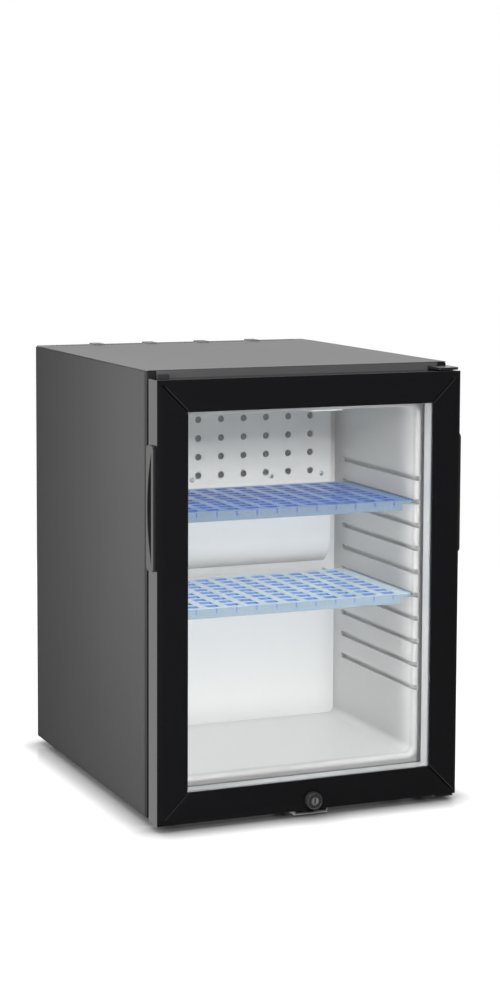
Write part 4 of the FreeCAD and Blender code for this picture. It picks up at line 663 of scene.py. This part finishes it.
@dataclass
class EdgeEasing:
    """Small rounding that a real sheet or moulding has on its edges; width and mitre are in metres.

    mitre is the chamfer on slanting seams of the front face. Vertices closer than WELD and faces within FLAT degrees
    become one first; edges above SHARP degrees are eased, and broad faces set the normals by FACE_WEIGHT.
    """

    width: float
    segments: int = 3
    mitre: float = 0.0

    WELD: ClassVar[float] = 2e-6
    FLAT: ClassVar[float] = 1.0
    SHARP: ClassVar[float] = 35.0
    FACE_WEIGHT: ClassVar[int] = 100

    def ease(self, node: str) -> Piece:
        """Stand an eased copy of a construction node in its place.

        Args:
            node: The node's name.

        Returns:
            The new piece.
        """
        mesh = frame["nodes"][node].data.copy()
        work = bmesh.new()
        work.from_mesh(mesh)
        bmesh.ops.remove_doubles(work, verts=work.verts, dist=self.WELD)
        bmesh.ops.dissolve_limit(work, angle_limit=math.radians(self.FLAT), verts=work.verts, edges=work.edges)
        if self.mitre:
            self.ease_mitres(work)
        work.to_mesh(mesh)
        work.free()
        mesh.shade_smooth()
        scratch = add_object(f"{node}_scratch", mesh)
        bevel = scratch.modifiers.new("easing", "BEVEL")
        bevel.width = self.width
        bevel.segments = self.segments
        bevel.limit_method = "ANGLE"
        bevel.angle_limit = math.radians(self.SHARP)
        bevel.use_clamp_overlap = True
        flat = scratch.modifiers.new("flat_faces", "WEIGHTED_NORMAL")
        flat.weight = self.FACE_WEIGHT
        eased = evaluated_mesh(scratch)
        bpy.data.objects.remove(scratch)
        piece = new_piece(f"{node}_eased", eased, body_of(node), slot_of(node), [node])
        dress(piece, finish_of(node))
        return piece

    def ease_mitres(self, work: BMesh) -> None:
        """Chamfer the slanting seams on the front face, where two bars meet.

        Args:
            work: The bar's bmesh.
        """
        front = min(vertex.co.y for vertex in work.verts) + self.width
        seams = []
        for edge in work.edges:
            run = edge.verts[1].co - edge.verts[0].co
            slanting = min(abs(run.x), abs(run.z)) > self.mitre
            if slanting and all(vertex.co.y < front for vertex in edge.verts):
                seams.append(edge)
        bmesh.ops.bevel(work, geom=seams, offset=self.mitre, segments=1, profile=0.5, affect="EDGES")


@dataclass
class Repeater:
    """Geometry nodes that repeat one small item, made round its own origin.

    Fields:
        turn: Turn of every item, in radians about X, Y and Z.
        spots: Places of the items for the pattern of given spots.
        start: First place of a row, or middle of a ring.
        step: Distance from one item of a row to the next.
        count: Number of items in a row or ring.
        radius, ring_turn: Radius of a ring, and its turn out of the floor plane.
        sockets: Identifiers of the tree's inputs, noted when it is built.
    """

    name: str
    item: Mesh
    pattern: Pattern
    turn: Spot = (0.0, 0.0, 0.0)
    spots: Sequence[Spot] = ()
    start: Spot = (0.0, 0.0, 0.0)
    step: Spot = (0.0, 0.0, 0.0)
    count: int = 1
    radius: float = 0.01
    ring_turn: Spot = (0.0, 0.0, 0.0)
    sockets: dict[str, str] = field(default_factory=dict)

    KINDS: ClassVar[dict[str, str]] = {
        "Item": "NodeSocketObject", "Turn": "NodeSocketVector", "Start": "NodeSocketVector",
        "Step": "NodeSocketVector", "Count": "NodeSocketInt", "Radius": "NodeSocketFloat",
        "Ring Turn": "NodeSocketVector", "Material": "NodeSocketMaterial",
    }

    def points(self, graph: Graph, given: bpy.types.NodeOutputs) -> Socket:
        """Add the nodes that give the places of the items.

        Args:
            graph: The tree.
            given: What the tree is given.

        Returns:
            A geometry socket whose points carry the items.
        """
        if self.pattern is Pattern.SPOTS:
            return given["Geometry"]
        if self.pattern is Pattern.ROW:
            return graph.add("GeometryNodeMeshLine", {"mode": "OFFSET"}, Count=given["Count"],
                             Start_Location=given["Start"], Offset=given["Step"]).outputs["Mesh"]
        ring = graph.add("GeometryNodeMeshCircle", Vertices=given["Count"], Radius=given["Radius"])
        return graph.add("GeometryNodeTransform", Geometry=ring.outputs["Mesh"], Translation=given["Start"],
                         Rotation=given["Ring Turn"]).outputs["Geometry"]

    def tree(self) -> Tree:
        """Build the node tree and note the identifiers of its inputs.

        Returns:
            The tree.
        """
        tree = bpy.data.node_groups.new(f"{self.name}_repeat", "GeometryNodeTree")
        tree.interface.new_socket(name="Geometry", in_out="INPUT", socket_type="NodeSocketGeometry")
        for name, kind in self.KINDS.items():
            socket = tree.interface.new_socket(name=name, in_out="INPUT", socket_type=kind)
            self.sockets[name] = socket.identifier
        tree.interface.new_socket(name="Geometry", in_out="OUTPUT", socket_type="NodeSocketGeometry")
        graph = Graph(tree)
        given = graph.add("NodeGroupInput").outputs
        item = graph.add("GeometryNodeObjectInfo", Object=given["Item"])
        placed = graph.add("GeometryNodeInstanceOnPoints", Points=self.points(graph, given),
                           Instance=item.outputs["Geometry"], Rotation=given["Turn"])
        real = graph.add("GeometryNodeRealizeInstances", Geometry=placed.outputs["Instances"])
        coated = graph.add("GeometryNodeSetMaterial", Geometry=real.outputs["Geometry"], Material=given["Material"])
        graph.add("NodeGroupOutput", Geometry=coated.outputs["Geometry"])
        return tree

    def build(self, body: str, slot: Slot, replaces: Iterable[str] = ()) -> Piece:
        """Repeat the item and add the result to the object.

        Args:
            body: The body that the piece moves with.
            slot: The material slot that it is dressed from.
            replaces: Construction nodes that it stands for.

        Returns:
            The finished piece.
        """
        source = add_object(f"{self.name}_item", self.item)
        base_mesh = bpy.data.meshes.new(f"{self.name}_base")
        base_mesh.from_pydata([Vector(spot) for spot in self.spots] or [Vector()], [], [])
        base = add_object(f"{self.name}_base", base_mesh)
        modifier = base.modifiers.new("repeat", "NODES")
        modifier.node_group = self.tree()
        values = {
            "Item": source, "Turn": self.turn, "Start": self.start, "Step": self.step, "Count": self.count,
            "Radius": self.radius, "Ring Turn": self.ring_turn, "Material": FINISHES[slot].material(),
        }
        for name, value in values.items():
            modifier[self.sockets[name]] = value
        mesh = evaluated_mesh(base)
        for thing in (base, source):
            bpy.data.objects.remove(thing)
        smooth_by_angle(mesh)
        return new_piece(self.name, mesh, body, slot, replaces)


def lathe(work: BMesh, outline: Sequence[tuple[float, float]], steps: int = 24) -> None:
    """Turn an outline of radius and height round Z into a closed solid.

    Args:
        work: The bmesh to fill.
        outline: Points from the top middle to the bottom middle, both on the axis.
        steps: Facets round the axis.
    """
    rings: list[list[bmesh.types.BMVert]] = []
    for radius, height in outline:
        count = 1 if radius == 0 else steps
        turns = [2 * math.pi * index / steps for index in range(count)]
        rings.append([work.verts.new((radius * math.cos(turn), radius * math.sin(turn), height)) for turn in turns])
    for upper, lower in zip(rings, rings[1:]):
        for index in range(steps):
            corners = [
                upper[index % len(upper)], lower[index % len(lower)],
                lower[(index + 1) % len(lower)], upper[(index + 1) % len(upper)],
            ]
            unique = list(dict.fromkeys(corners))
            if len(unique) > 2:
                work.faces.new(unique)


# Turns that bring the top of an item to the front, or down.
TOP_FORWARD: Spot = (math.pi / 2, 0.0, 0.0)
TOP_DOWN: Spot = (math.pi, 0.0, 0.0)


@dataclass(frozen=True)
class Screw:
    """Pan-head screw with a cross recess; its seat is at the item's origin and it points down.

    Sizes are in metres. The recess's reach and wall are shares of the head's radius, its depth one of the height;
    DOME is the outline of the head's top in such shares.
    """

    head_radius: float
    head_height: float
    shank_radius: float
    shank_length: float
    recess_reach: float = 0.6
    recess_wall: float = 0.22
    recess_depth: float = 0.62

    DOME: ClassVar[tuple[tuple[float, float], ...]] = ((0.0, 1.0), (0.45, 0.96), (0.8, 0.75), (0.97, 0.4))

    def item(self) -> Mesh:
        """Turn the screw and press the recess into its head.

        Returns:
            The mesh of one screw.
        """
        dome = [(self.head_radius * out, self.head_height * up) for out, up in self.DOME]
        outline = [*dome, (self.head_radius, 0.0), (self.shank_radius, 0.0), (self.shank_radius, -self.shank_length),
                   (0.0, -self.shank_length)]
        solid = add_object("screw_blank", mesh_from(lambda work: lathe(work, outline), "screw_blank"))
        cutter = add_object("screw_recess", mesh_from(self.recess, "screw_recess"))
        pressed = solid.modifiers.new("recess", "BOOLEAN")
        pressed.object = cutter
        pressed.operation = "DIFFERENCE"
        mesh = evaluated_mesh(solid)
        for thing in (solid, cutter):
            bpy.data.objects.remove(thing)
        return mesh

    def recess(self, work: BMesh) -> None:
        """Fill a bmesh with the cross that presses the recess.

        Args:
            work: The bmesh.
        """
        reach = self.head_radius * self.recess_reach
        wall = self.head_radius * self.recess_wall
        depth = self.head_height * self.recess_depth
        corners = [(reach, wall), (wall, wall), (wall, reach), (-wall, reach), (-wall, wall), (-reach, wall),
                   (-reach, -wall), (-wall, -wall), (-wall, -reach), (wall, -reach), (wall, -wall), (reach, -wall)]
        low, high = ([work.verts.new((x, y, z)) for x, y in corners]
                     for z in (self.head_height - depth, self.head_height + depth))
        work.faces.new(low)
        work.faces.new(high)
        bridge(work, low, high)

    def drive(self, name: str, turn: Spot, spots: Sequence[Spot], replaces: Iterable[str] = ()) -> None:
        """Set a screw of this kind at each of some spots on the cabinet."""
        Repeater(name, self.item(), Pattern.SPOTS, turn, spots).build("cabinet", Slot.BRIGHT_STEEL, replaces)


@dataclass
class Cabinet:
    """Sheet-metal cabinet with its front strip, vent comb, feet and hinge fittings; sizes are in metres.

    The insets are distances of screws from a bracket's edges, the halves those of a pair from its middle. top_wall is
    how far the top bracket stands in front of the strip, foot_seat the height of the feet's screws.
    """

    sheet_easing: float = 0.0005
    moulding_easing: float = 0.0009
    bracket_easing: float = 0.0005
    screw: Screw = Screw(0.0035, 0.0008, 0.002, 0.003)
    foot_screw: Screw = Screw(0.0045, 0.0025, 0.002, 0.007)
    screw_inset: float = 0.006
    top_insets: tuple[float, float] = (0.006, 0.015)
    top_wall: float = 0.003
    bracket_half: float = 0.009
    keeper_half: float = 0.013
    foot_seat: float = 0.004

    def build(self) -> None:
        """Ease the visible pieces and set the screws."""
        EdgeEasing(self.sheet_easing).ease("top_panel")
        for node in ("top_front_rail", "rear_vent_comb", "hinge_blank_cap", "feet"):
            EdgeEasing(self.moulding_easing).ease(node)
        for node in ("top_hinge_bracket", "bottom_hinge_bracket", "lock_keeper"):
            EdgeEasing(self.bracket_easing, 2).ease(node)
        self.set_screws()

    def set_screws(self) -> None:
        """Put cross-head screws where the brackets, the keeper and the feet are fixed."""
        top_low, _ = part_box("top_hinge_bracket")
        face_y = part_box("top_front_rail")[0][1] - self.top_wall
        self.screw.drive("top_bracket_screws", TOP_FORWARD,
                         [(top_low[0] + inset, face_y, top_low[2] + self.screw_inset) for inset in self.top_insets])
        plates = ((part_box("bottom_hinge_bracket"), self.bracket_half), (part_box("lock_keeper"), self.keeper_half))
        under = []
        for (low, high), half in plates:
            middle = (low[0] + high[0]) / 2
            under += [(middle + shift, high[1] - self.screw_inset, low[2]) for shift in (-half, half)]
        self.screw.drive("under_screws", TOP_DOWN, under, ["bracket_screws"])
        low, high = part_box("foot_screws")
        reach = self.foot_screw.head_radius
        corners = [(x, y, self.foot_seat) for x in (low[0] + reach, high[0] - reach)
                   for y in (low[1] + reach, high[1] - reach)]
        self.foot_screw.drive("foot_cross_screws", TOP_DOWN, corners, ["foot_screws"])


@dataclass
class Door:
    """Framed double-glazed door with its seal, grips and lock; sizes are in metres.

    seal_smooth is in degrees. SEAL_SECTION holds shares of the seal's width inwards from the outer edge, and of its
    depth behind the door.
    """

    bar_easing: float = 0.0006
    mitre_easing: float = 0.0022
    grip_easing: float = 0.0011
    lock_easing: float = 0.0005
    seal_width: float = 0.016
    seal_smooth: float = 60.0

    SEAL_SECTION: ClassVar[tuple[tuple[float, float], ...]] = (
        (0.0, 0.0), (0.0, 0.16), (0.1, 0.22), (0.14, 0.4), (0.04, 0.56), (0.02, 0.72), (0.08, 0.92), (0.2, 1.0),
        (0.72, 1.0), (0.84, 0.93), (0.88, 0.8), (0.8, 0.68), (0.84, 0.5), (0.98, 0.3), (1.0, 0.12), (1.0, 0.0),
    )

    def build(self) -> None:
        """Ease the frame and make the seal."""
        for side in ("left", "right", "top", "bottom"):
            EdgeEasing(self.bar_easing, mitre=self.mitre_easing).ease(f"door_bar_{side}")
        for side in ("left", "right"):
            EdgeEasing(self.grip_easing).ease(f"grip_{side}")
        EdgeEasing(self.lock_easing).ease("lock_housing")
        mesh = mesh_from(self.seal, "folded_seal")
        smooth_by_angle(mesh, self.seal_smooth)
        new_piece("folded_seal", mesh, "door", Slot.GASKET, ["door_gasket"])

    def seal(self, work: BMesh) -> None:
        """Sweep the folded section of the seal round the door, mitred at the corners.

        Args:
            work: The bmesh to fill.
        """
        low, high = (Vector(painted_shade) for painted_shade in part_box("door_gasket"))
        depth = high.y - low.y
        loops = []
        for inward, back in self.SEAL_SECTION:
            inset = inward * self.seal_width
            y = low.y + back * depth
            corners = ((low.x + inset, low.z + inset), (high.x - inset, low.z + inset),
                       (high.x - inset, high.z - inset), (low.x + inset, high.z - inset))
            loops.append([work.verts.new((x, y, z)) for x, z in corners])
        for first, second in zip(loops, loops[1:] + loops[:1]):
            bridge(work, first, second)


@dataclass
class ColdBox:
    """White cavity with its shelves, evaporator cover, gutter and lamp; sizes are in metres.

    Faces whose normal rises less than wall_slope count as upright; screw_gap lies between the two screws of a side.
    """

    shelf_easing: float = 0.0006
    lip_wall: float = 0.003
    wall_slope: float = 0.7
    cover_screw: Screw = Screw(0.0032, 0.0016, 0.0015, 0.012)
    screw_gap: float = 0.073
    light_count: int = 6
    light_side: float = 0.0028

    def build(self) -> None:
        """Ease the visible pieces, set the cover's screws and the lamp's lights."""
        for node in ("upper_shelf", "lower_shelf"):
            self.mark_walls(EdgeEasing(self.shelf_easing, 2).ease(node))
        EdgeEasing(self.shelf_easing, 2).ease("drip_gutter")
        EdgeEasing(self.shelf_easing, 3).ease("lamp_lens")
        low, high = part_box("cover_screws")
        face_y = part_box("evaporator_cover")[0][1]
        z = (low[2] + high[2]) / 2
        far = high[0] - self.cover_screw.head_radius
        near = far - self.screw_gap
        self.cover_screw.drive("cover_cross_screws", TOP_FORWARD, [(x, face_y, z) for x in (-far, -near, near, far)],
                               ["cover_screws"])
        self.set_lights()

    def mark_walls(self, shelf: Piece) -> None:
        """Mark which faces of a shelf are upright walls and which belong to its front lip.

        Args:
            shelf: The shelf.
        """
        mesh = shelf.data
        back = min(vertex.co.y for vertex in mesh.vertices) + self.lip_wall
        walls = mesh.attributes.new("wall", "FLOAT", "FACE")
        lips = mesh.attributes.new("lip", "FLOAT", "FACE")
        for face in mesh.polygons:
            upright = abs(face.normal.z) < self.wall_slope
            front = face.center.y < back
            walls.data[face.index].value = float(upright and not front)
            lips.data[face.index].value = float(upright and front)

    def set_lights(self) -> None:
        """Set a row of small lights on the lamp's board."""
        low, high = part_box("lamp_board")
        spacing = (high[1] - low[1]) / self.light_count
        side = self.light_side
        start = ((low[0] + high[0]) / 2, low[1] + spacing / 2, low[2] - side / 4)
        Repeater("lamp_lights", block("light_chip", (side, side, side / 2)), Pattern.ROW, start=start,
                 step=(0.0, spacing, 0.0), count=self.light_count).build("cabinet", Slot.LENS)


@dataclass
class CoolingUnit:
    """Absorption unit at the open back, with its welds, fins and control box; sizes are in metres.

    drum_height is that of the drum's middle, drum_rim the inset of its welds, fin_corner the cut of a fin's corners
    and rib_ring the radius on which the knob's ribs stand. The setbacks go from the faces of the knob and the inlet to
    the middle of their ribs and blades; BLADE_SHIFTS are along X and Z from the inlet's middle.
    """

    casing_easing: float = 0.002
    box_easing: float = 0.0012
    weld_beads: int = 40
    bead_radius: float = 0.0022
    drum_height: float = 0.066
    drum_radius: float = 0.032
    drum_rim: float = 0.008
    coil_radius: float = 0.01
    gas_radius: float = 0.014
    fin_count: int = 18
    fin_side: float = 0.046
    fin_wall: float = 0.0008
    fin_corner: float = 0.004
    fin_bore: float = 0.0091
    fin_steps: int = 32
    rib_count: int = 30
    rib_radius: float = 0.0006
    rib_length: float = 0.0075
    rib_ring: float = 0.0119
    rib_setback: float = 0.0065
    blade: Spot = (0.002, 0.0095, 0.004)
    blade_setback: float = 0.0105

    BLADE_SHIFTS: ClassVar[tuple[tuple[float, float], ...]] = ((-0.004, -0.0045), (0.004, -0.0045), (0.0, 0.0045))

    def build(self) -> None:
        """Ease the casings, stack the fins, weld the joints and finish the controls."""
        EdgeEasing(self.casing_easing).ease("boiler_casing")
        for node in ("control_box", "condensate_cup", "mains_inlet", "thermostat_knob"):
            EdgeEasing(self.box_easing, 2).ease(node)
        self.stack_fins()
        self.weld()
        self.ribs_on_knob()
        self.inlet_pins()

    def stack_fins(self) -> None:
        """Repeat one fin along the condenser pipe."""
        low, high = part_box("condenser_fins")
        step = (high[0] - low[0] - self.fin_wall) / (self.fin_count - 1)
        start = (low[0] + self.fin_wall / 2, (low[1] + high[1]) / 2, (low[2] + high[2]) / 2)
        Repeater("pressed_fins", mesh_from(self.fin, "collared_fin"), Pattern.ROW, start=start, step=(step, 0.0, 0.0),
                 count=self.fin_count).build("cabinet", Slot.SILVER, ["condenser_fins"])

    def fin(self, work: BMesh) -> None:
        """Fill a bmesh with a square plate that has cut corners and a hole, both faces and both rims.

        Args:
            work: The bmesh.
        """
        half = self.fin_side / 2
        loops = []
        for x in (-self.fin_wall / 2, self.fin_wall / 2):
            outer, inner = [], []
            for index in range(self.fin_steps):
                turn = 2 * math.pi * (index + 0.5) / self.fin_steps
                side = Vector((math.cos(turn), math.sin(turn)))
                reach = min(half / max(abs(side.x), abs(side.y)), half * math.sqrt(2) - self.fin_corner)
                outer.append(work.verts.new((x, side.x * reach, side.y * reach)))
                inner.append(work.verts.new((x, side.x * self.fin_bore, side.y * self.fin_bore)))
            loops.append((outer, inner))
        (near_out, near_in), (far_out, far_in) = loops
        for one, two in ((near_out, near_in), (near_in, far_in), (far_in, far_out), (far_out, near_out)):
            bridge(work, one, two)

    def weld(self) -> None:
        """Lay weld beads round the drum's ends and the stubs."""
        low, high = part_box("absorber_vessel")
        coil_low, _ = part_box("absorber_coil")
        gas_low, gas_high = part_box("gas_exchanger")
        bead = mesh_from(lambda work: bmesh.ops.create_icosphere(
            work, subdivisions=1, radius=self.bead_radius), "weld_bead")
        for name, x in (("left", low[0] + self.drum_rim), ("right", high[0] - self.drum_rim)):
            start = (x, (low[1] + high[1]) / 2, self.drum_height)
            Repeater(f"drum_weld_{name}", bead.copy(), Pattern.RING, start=start, count=self.weld_beads * 2,
                     radius=self.drum_radius, ring_turn=(0.0, math.pi / 2, 0.0)).build("cabinet", Slot.UNIT)
        coil, gas = self.coil_radius, self.gas_radius
        stubs = (
            ("coil", (coil_low[0] + coil, coil_low[1] + coil, coil_low[2]), coil),
            ("gas", ((gas_low[0] + gas_high[0]) / 2, gas_high[1] - gas, gas_low[2]), gas),
        )
        for name, start, radius in stubs:
            Repeater(f"stub_weld_{name}", bead.copy(), Pattern.RING, start=start, count=self.weld_beads,
                     radius=radius).build("cabinet", Slot.UNIT)

    def ribs_on_knob(self) -> None:
        """Stand grip ribs round the thermostat knob."""
        low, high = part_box("thermostat_knob")
        middle = ((low[0] + high[0]) / 2, high[1] - self.rib_setback, (low[2] + high[2]) / 2)
        rib = mesh_from(lambda work: bmesh.ops.create_cone(
            work, cap_ends=True, segments=8, radius1=self.rib_radius, radius2=self.rib_radius,
            depth=self.rib_length), "knob_rib")
        Repeater("knob_ribs", rib, Pattern.RING, turn=TOP_FORWARD, start=middle, count=self.rib_count,
                 radius=self.rib_ring, ring_turn=TOP_FORWARD).build("thermostat", Slot.TRIM)

    def inlet_pins(self) -> None:
        """Stand the three contact blades in the mains inlet."""
        low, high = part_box("mains_inlet")
        x, y, z = (low[0] + high[0]) / 2, high[1] - self.blade_setback, (low[2] + high[2]) / 2
        Repeater("inlet_contacts", block("contact_blade", self.blade), Pattern.SPOTS,
                 spots=[(x + right, y, z + up) for right, up in self.BLADE_SHIFTS]).build("cabinet", Slot.BRIGHT_STEEL)


@dataclass(frozen=True)
class Lamp:
    """Soft flat lamp that looks at the object's middle, AIM, and isn't seen itself; lengths are in metres."""

    name: str
    place: Spot
    sides: tuple[float, float]
    watts: float

    AIM: ClassVar[Spot] = (0.0, 0.0, 0.28)

    def hang(self) -> None:
        """Add the lamp to the scene."""
        data = bpy.data.lights.new(self.name, "AREA")
        data.shape = "RECTANGLE"
        data.size, data.size_y = self.sides
        data.energy = self.watts
        lamp = add_object(self.name, data)
        lamp.location = self.place
        lamp.rotation_euler = (Vector(self.AIM) - Vector(self.place)).to_track_quat("-Z", "Y").to_euler()
        lamp.visible_glossy = False
        lamp.visible_camera = False


LAMPS = (
    Lamp("side_lamp", (-0.7, -0.3, 0.45), (0.15, 0.8), 16.0),
    Lamp("right_lamp", (1.3, 0.1, 0.9), (0.8, 0.8), 30.0),
    Lamp("back_lamp", (-0.4, 2.0, 1.3), (1.0, 1.0), 60.0),
    Lamp("front_lamp", (-0.2, -2.5, 1.38), (0.7, 0.7), 76.0),
    Lamp("sill_lamp", (0.05, -1.1, 1.35), (0.5, 0.3), 8.5),
)


@dataclass
class Studio:
    """Pale floor, soft light and the camera of the photograph; lengths are in metres, the sensor in millimetres.

    yaw, pitch and roll turn the camera to the right, downwards and anticlockwise, in degrees. focal is in pixels of a
    picture of picture_height, and shift a share of that height. shadow_depth is the power that deepens the floor's
    shadow. floor_lift and floor_grey are the floor's white by itself and under the lamps, floor_bounce what it throws
    back on the object. Reflections of the surroundings keep front_dim of their strength up to front_start and all of
    it from front_end on, from -1 in front to 1 behind.
    """

    eye: Spot = (-1.114, -2.664, 0.776)
    yaw: float = 22.98
    pitch: float = 5.54
    roll: float = 0.24
    focal: float = 2213.0
    picture_height: float = 1000.0
    sensor: float = 36.0
    shift: float = -0.1
    floor_radius: float = 1.7
    shadow_reach: float = 0.038
    shadow_depth: float = 2.6
    floor_lift: float = 0.9
    floor_grey: float = 0.08
    floor_roughness: float = 0.1
    floor_shine: float = 0.05
    floor_bounce: float = 0.5
    sky_soft: float = 0.18
    front_start: float = -0.75
    front_end: float = 0.2
    front_dim: float = 0.06

    def build(self) -> None:
        """Set up camera, floor, world and lamps."""
        self.place_camera()
        self.lay_floor()
        self.light_world()
        for lamp in LAMPS:
            lamp.hang()
        bpy.context.scene.view_settings.view_transform = "Standard"

    def place_camera(self) -> None:
        """Stand the camera where the photograph was taken from."""
        yaw, pitch, roll = (math.radians(value) for value in (self.yaw, self.pitch, self.roll))
        ahead = Vector((math.sin(yaw) * math.cos(pitch), math.cos(yaw) * math.cos(pitch), -math.sin(pitch)))
        right = Vector((math.cos(yaw), -math.sin(yaw), 0.0))
        up = right.cross(ahead)
        tilted_right = right * math.cos(roll) + up * math.sin(roll)
        tilted_up = up * math.cos(roll) - right * math.sin(roll)
        turn = Matrix((tilted_right, tilted_up, -ahead)).transposed()
        data = bpy.data.cameras.new("photo_camera")
        data.sensor_width = self.sensor
        data.lens = self.focal / self.picture_height * self.sensor
        data.shift_y = self.shift
        camera = add_object("photo_camera", data)
        camera.matrix_world = Matrix.Translation(self.eye) @ turn.to_4x4()
        bpy.context.scene.camera = camera

    def lay_floor(self) -> None:
        """Lay a pale round floor that keeps the object's shadow."""
        mesh = mesh_from(lambda work: bmesh.ops.create_circle(
            work, cap_ends=True, radius=self.floor_radius, segments=96), "pale_floor")
        floor = add_object("pale_floor", mesh)
        mesh.materials.append(self.floor_material())
        floor.visible_glossy = False

    def floor_material(self) -> bpy.types.Material:
        """White floor with a soft shadow where the object stands; it throws back less light than the eye sees.

        Returns:
            The floor's material.
        """
        material = bpy.data.materials.new("pale_floor")
        graph = Graph.cleared(material)
        shade = graph.group(PAINTED_SHADE, Amount=1.0, Reach=self.shadow_reach)
        lit = graph.math("POWER", shade.outputs["Open"], self.shadow_depth)
        bounce = graph.add("ShaderNodeBsdfDiffuse", Color=(*(self.floor_bounce,) * 3, 1.0))
        seen = graph.add("ShaderNodeBsdfPrincipled", Base_Color=(*(self.floor_grey,) * 3, 1.0), Emission_Color=WHITE,
                         Roughness=self.floor_roughness, Specular_IOR_Level=self.floor_shine,
                         Emission_Strength=graph.math("MULTIPLY", lit, self.floor_lift))
        path = graph.add("ShaderNodeLightPath").outputs
        graph.add("ShaderNodeOutputMaterial", Surface=graph.mix_shaders(path["Is Camera Ray"], bounce, seen))
        return material

    def light_world(self) -> None:
        """White surroundings for the eye and for reflections, these dimmer in front, and soft light all round."""
        world = bpy.data.worlds.new("studio")
        bpy.context.scene.world = world
        graph = Graph.cleared(world)
        path = graph.add("ShaderNodeLightPath").outputs
        front = graph.add("ShaderNodeMapRange", {"interpolation_type": "SMOOTHSTEP"}, From_Min=self.front_start,
                          From_Max=self.front_end, To_Min=self.front_dim, To_Max=1.0,
                          Value=graph.place("Generated", "Y"))
        clear = graph.math("MAXIMUM", path["Is Camera Ray"], path["Is Transmission Ray"])
        seen = graph.math("MAXIMUM", clear, graph.math("MULTIPLY", path["Is Glossy Ray"], front.outputs["Result"]))
        unseen = graph.math("SUBTRACT", 1.0, graph.math("MAXIMUM", clear, path["Is Glossy Ray"]))
        strength = graph.math("ADD", seen, graph.math("MULTIPLY", unseen, self.sky_soft))
        sky = graph.add("ShaderNodeBackground", Color=WHITE, Strength=strength)
        graph.add("ShaderNodeOutputWorld", Surface=sky.outputs["Background"])


def dress_nodes() -> None:
    """Give every construction node its own finish, or else that of its slot."""
    for node, piece in frame["nodes"].items():
        dress(piece, finish_of(node))


def main() -> None:
    """Build the studio, dress every construction node and build every sub-assembly."""
    logging.basicConfig(level=logging.INFO, format="%(name)s: %(message)s")
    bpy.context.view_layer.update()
    Studio().build()
    dress_nodes()
    for assembly in (Cabinet(), Door(), ColdBox(), CoolingUnit()):
        assembly.build()
        LOG.info("%s is built", type(assembly).__name__)


if __name__ == "__main__":
    main()
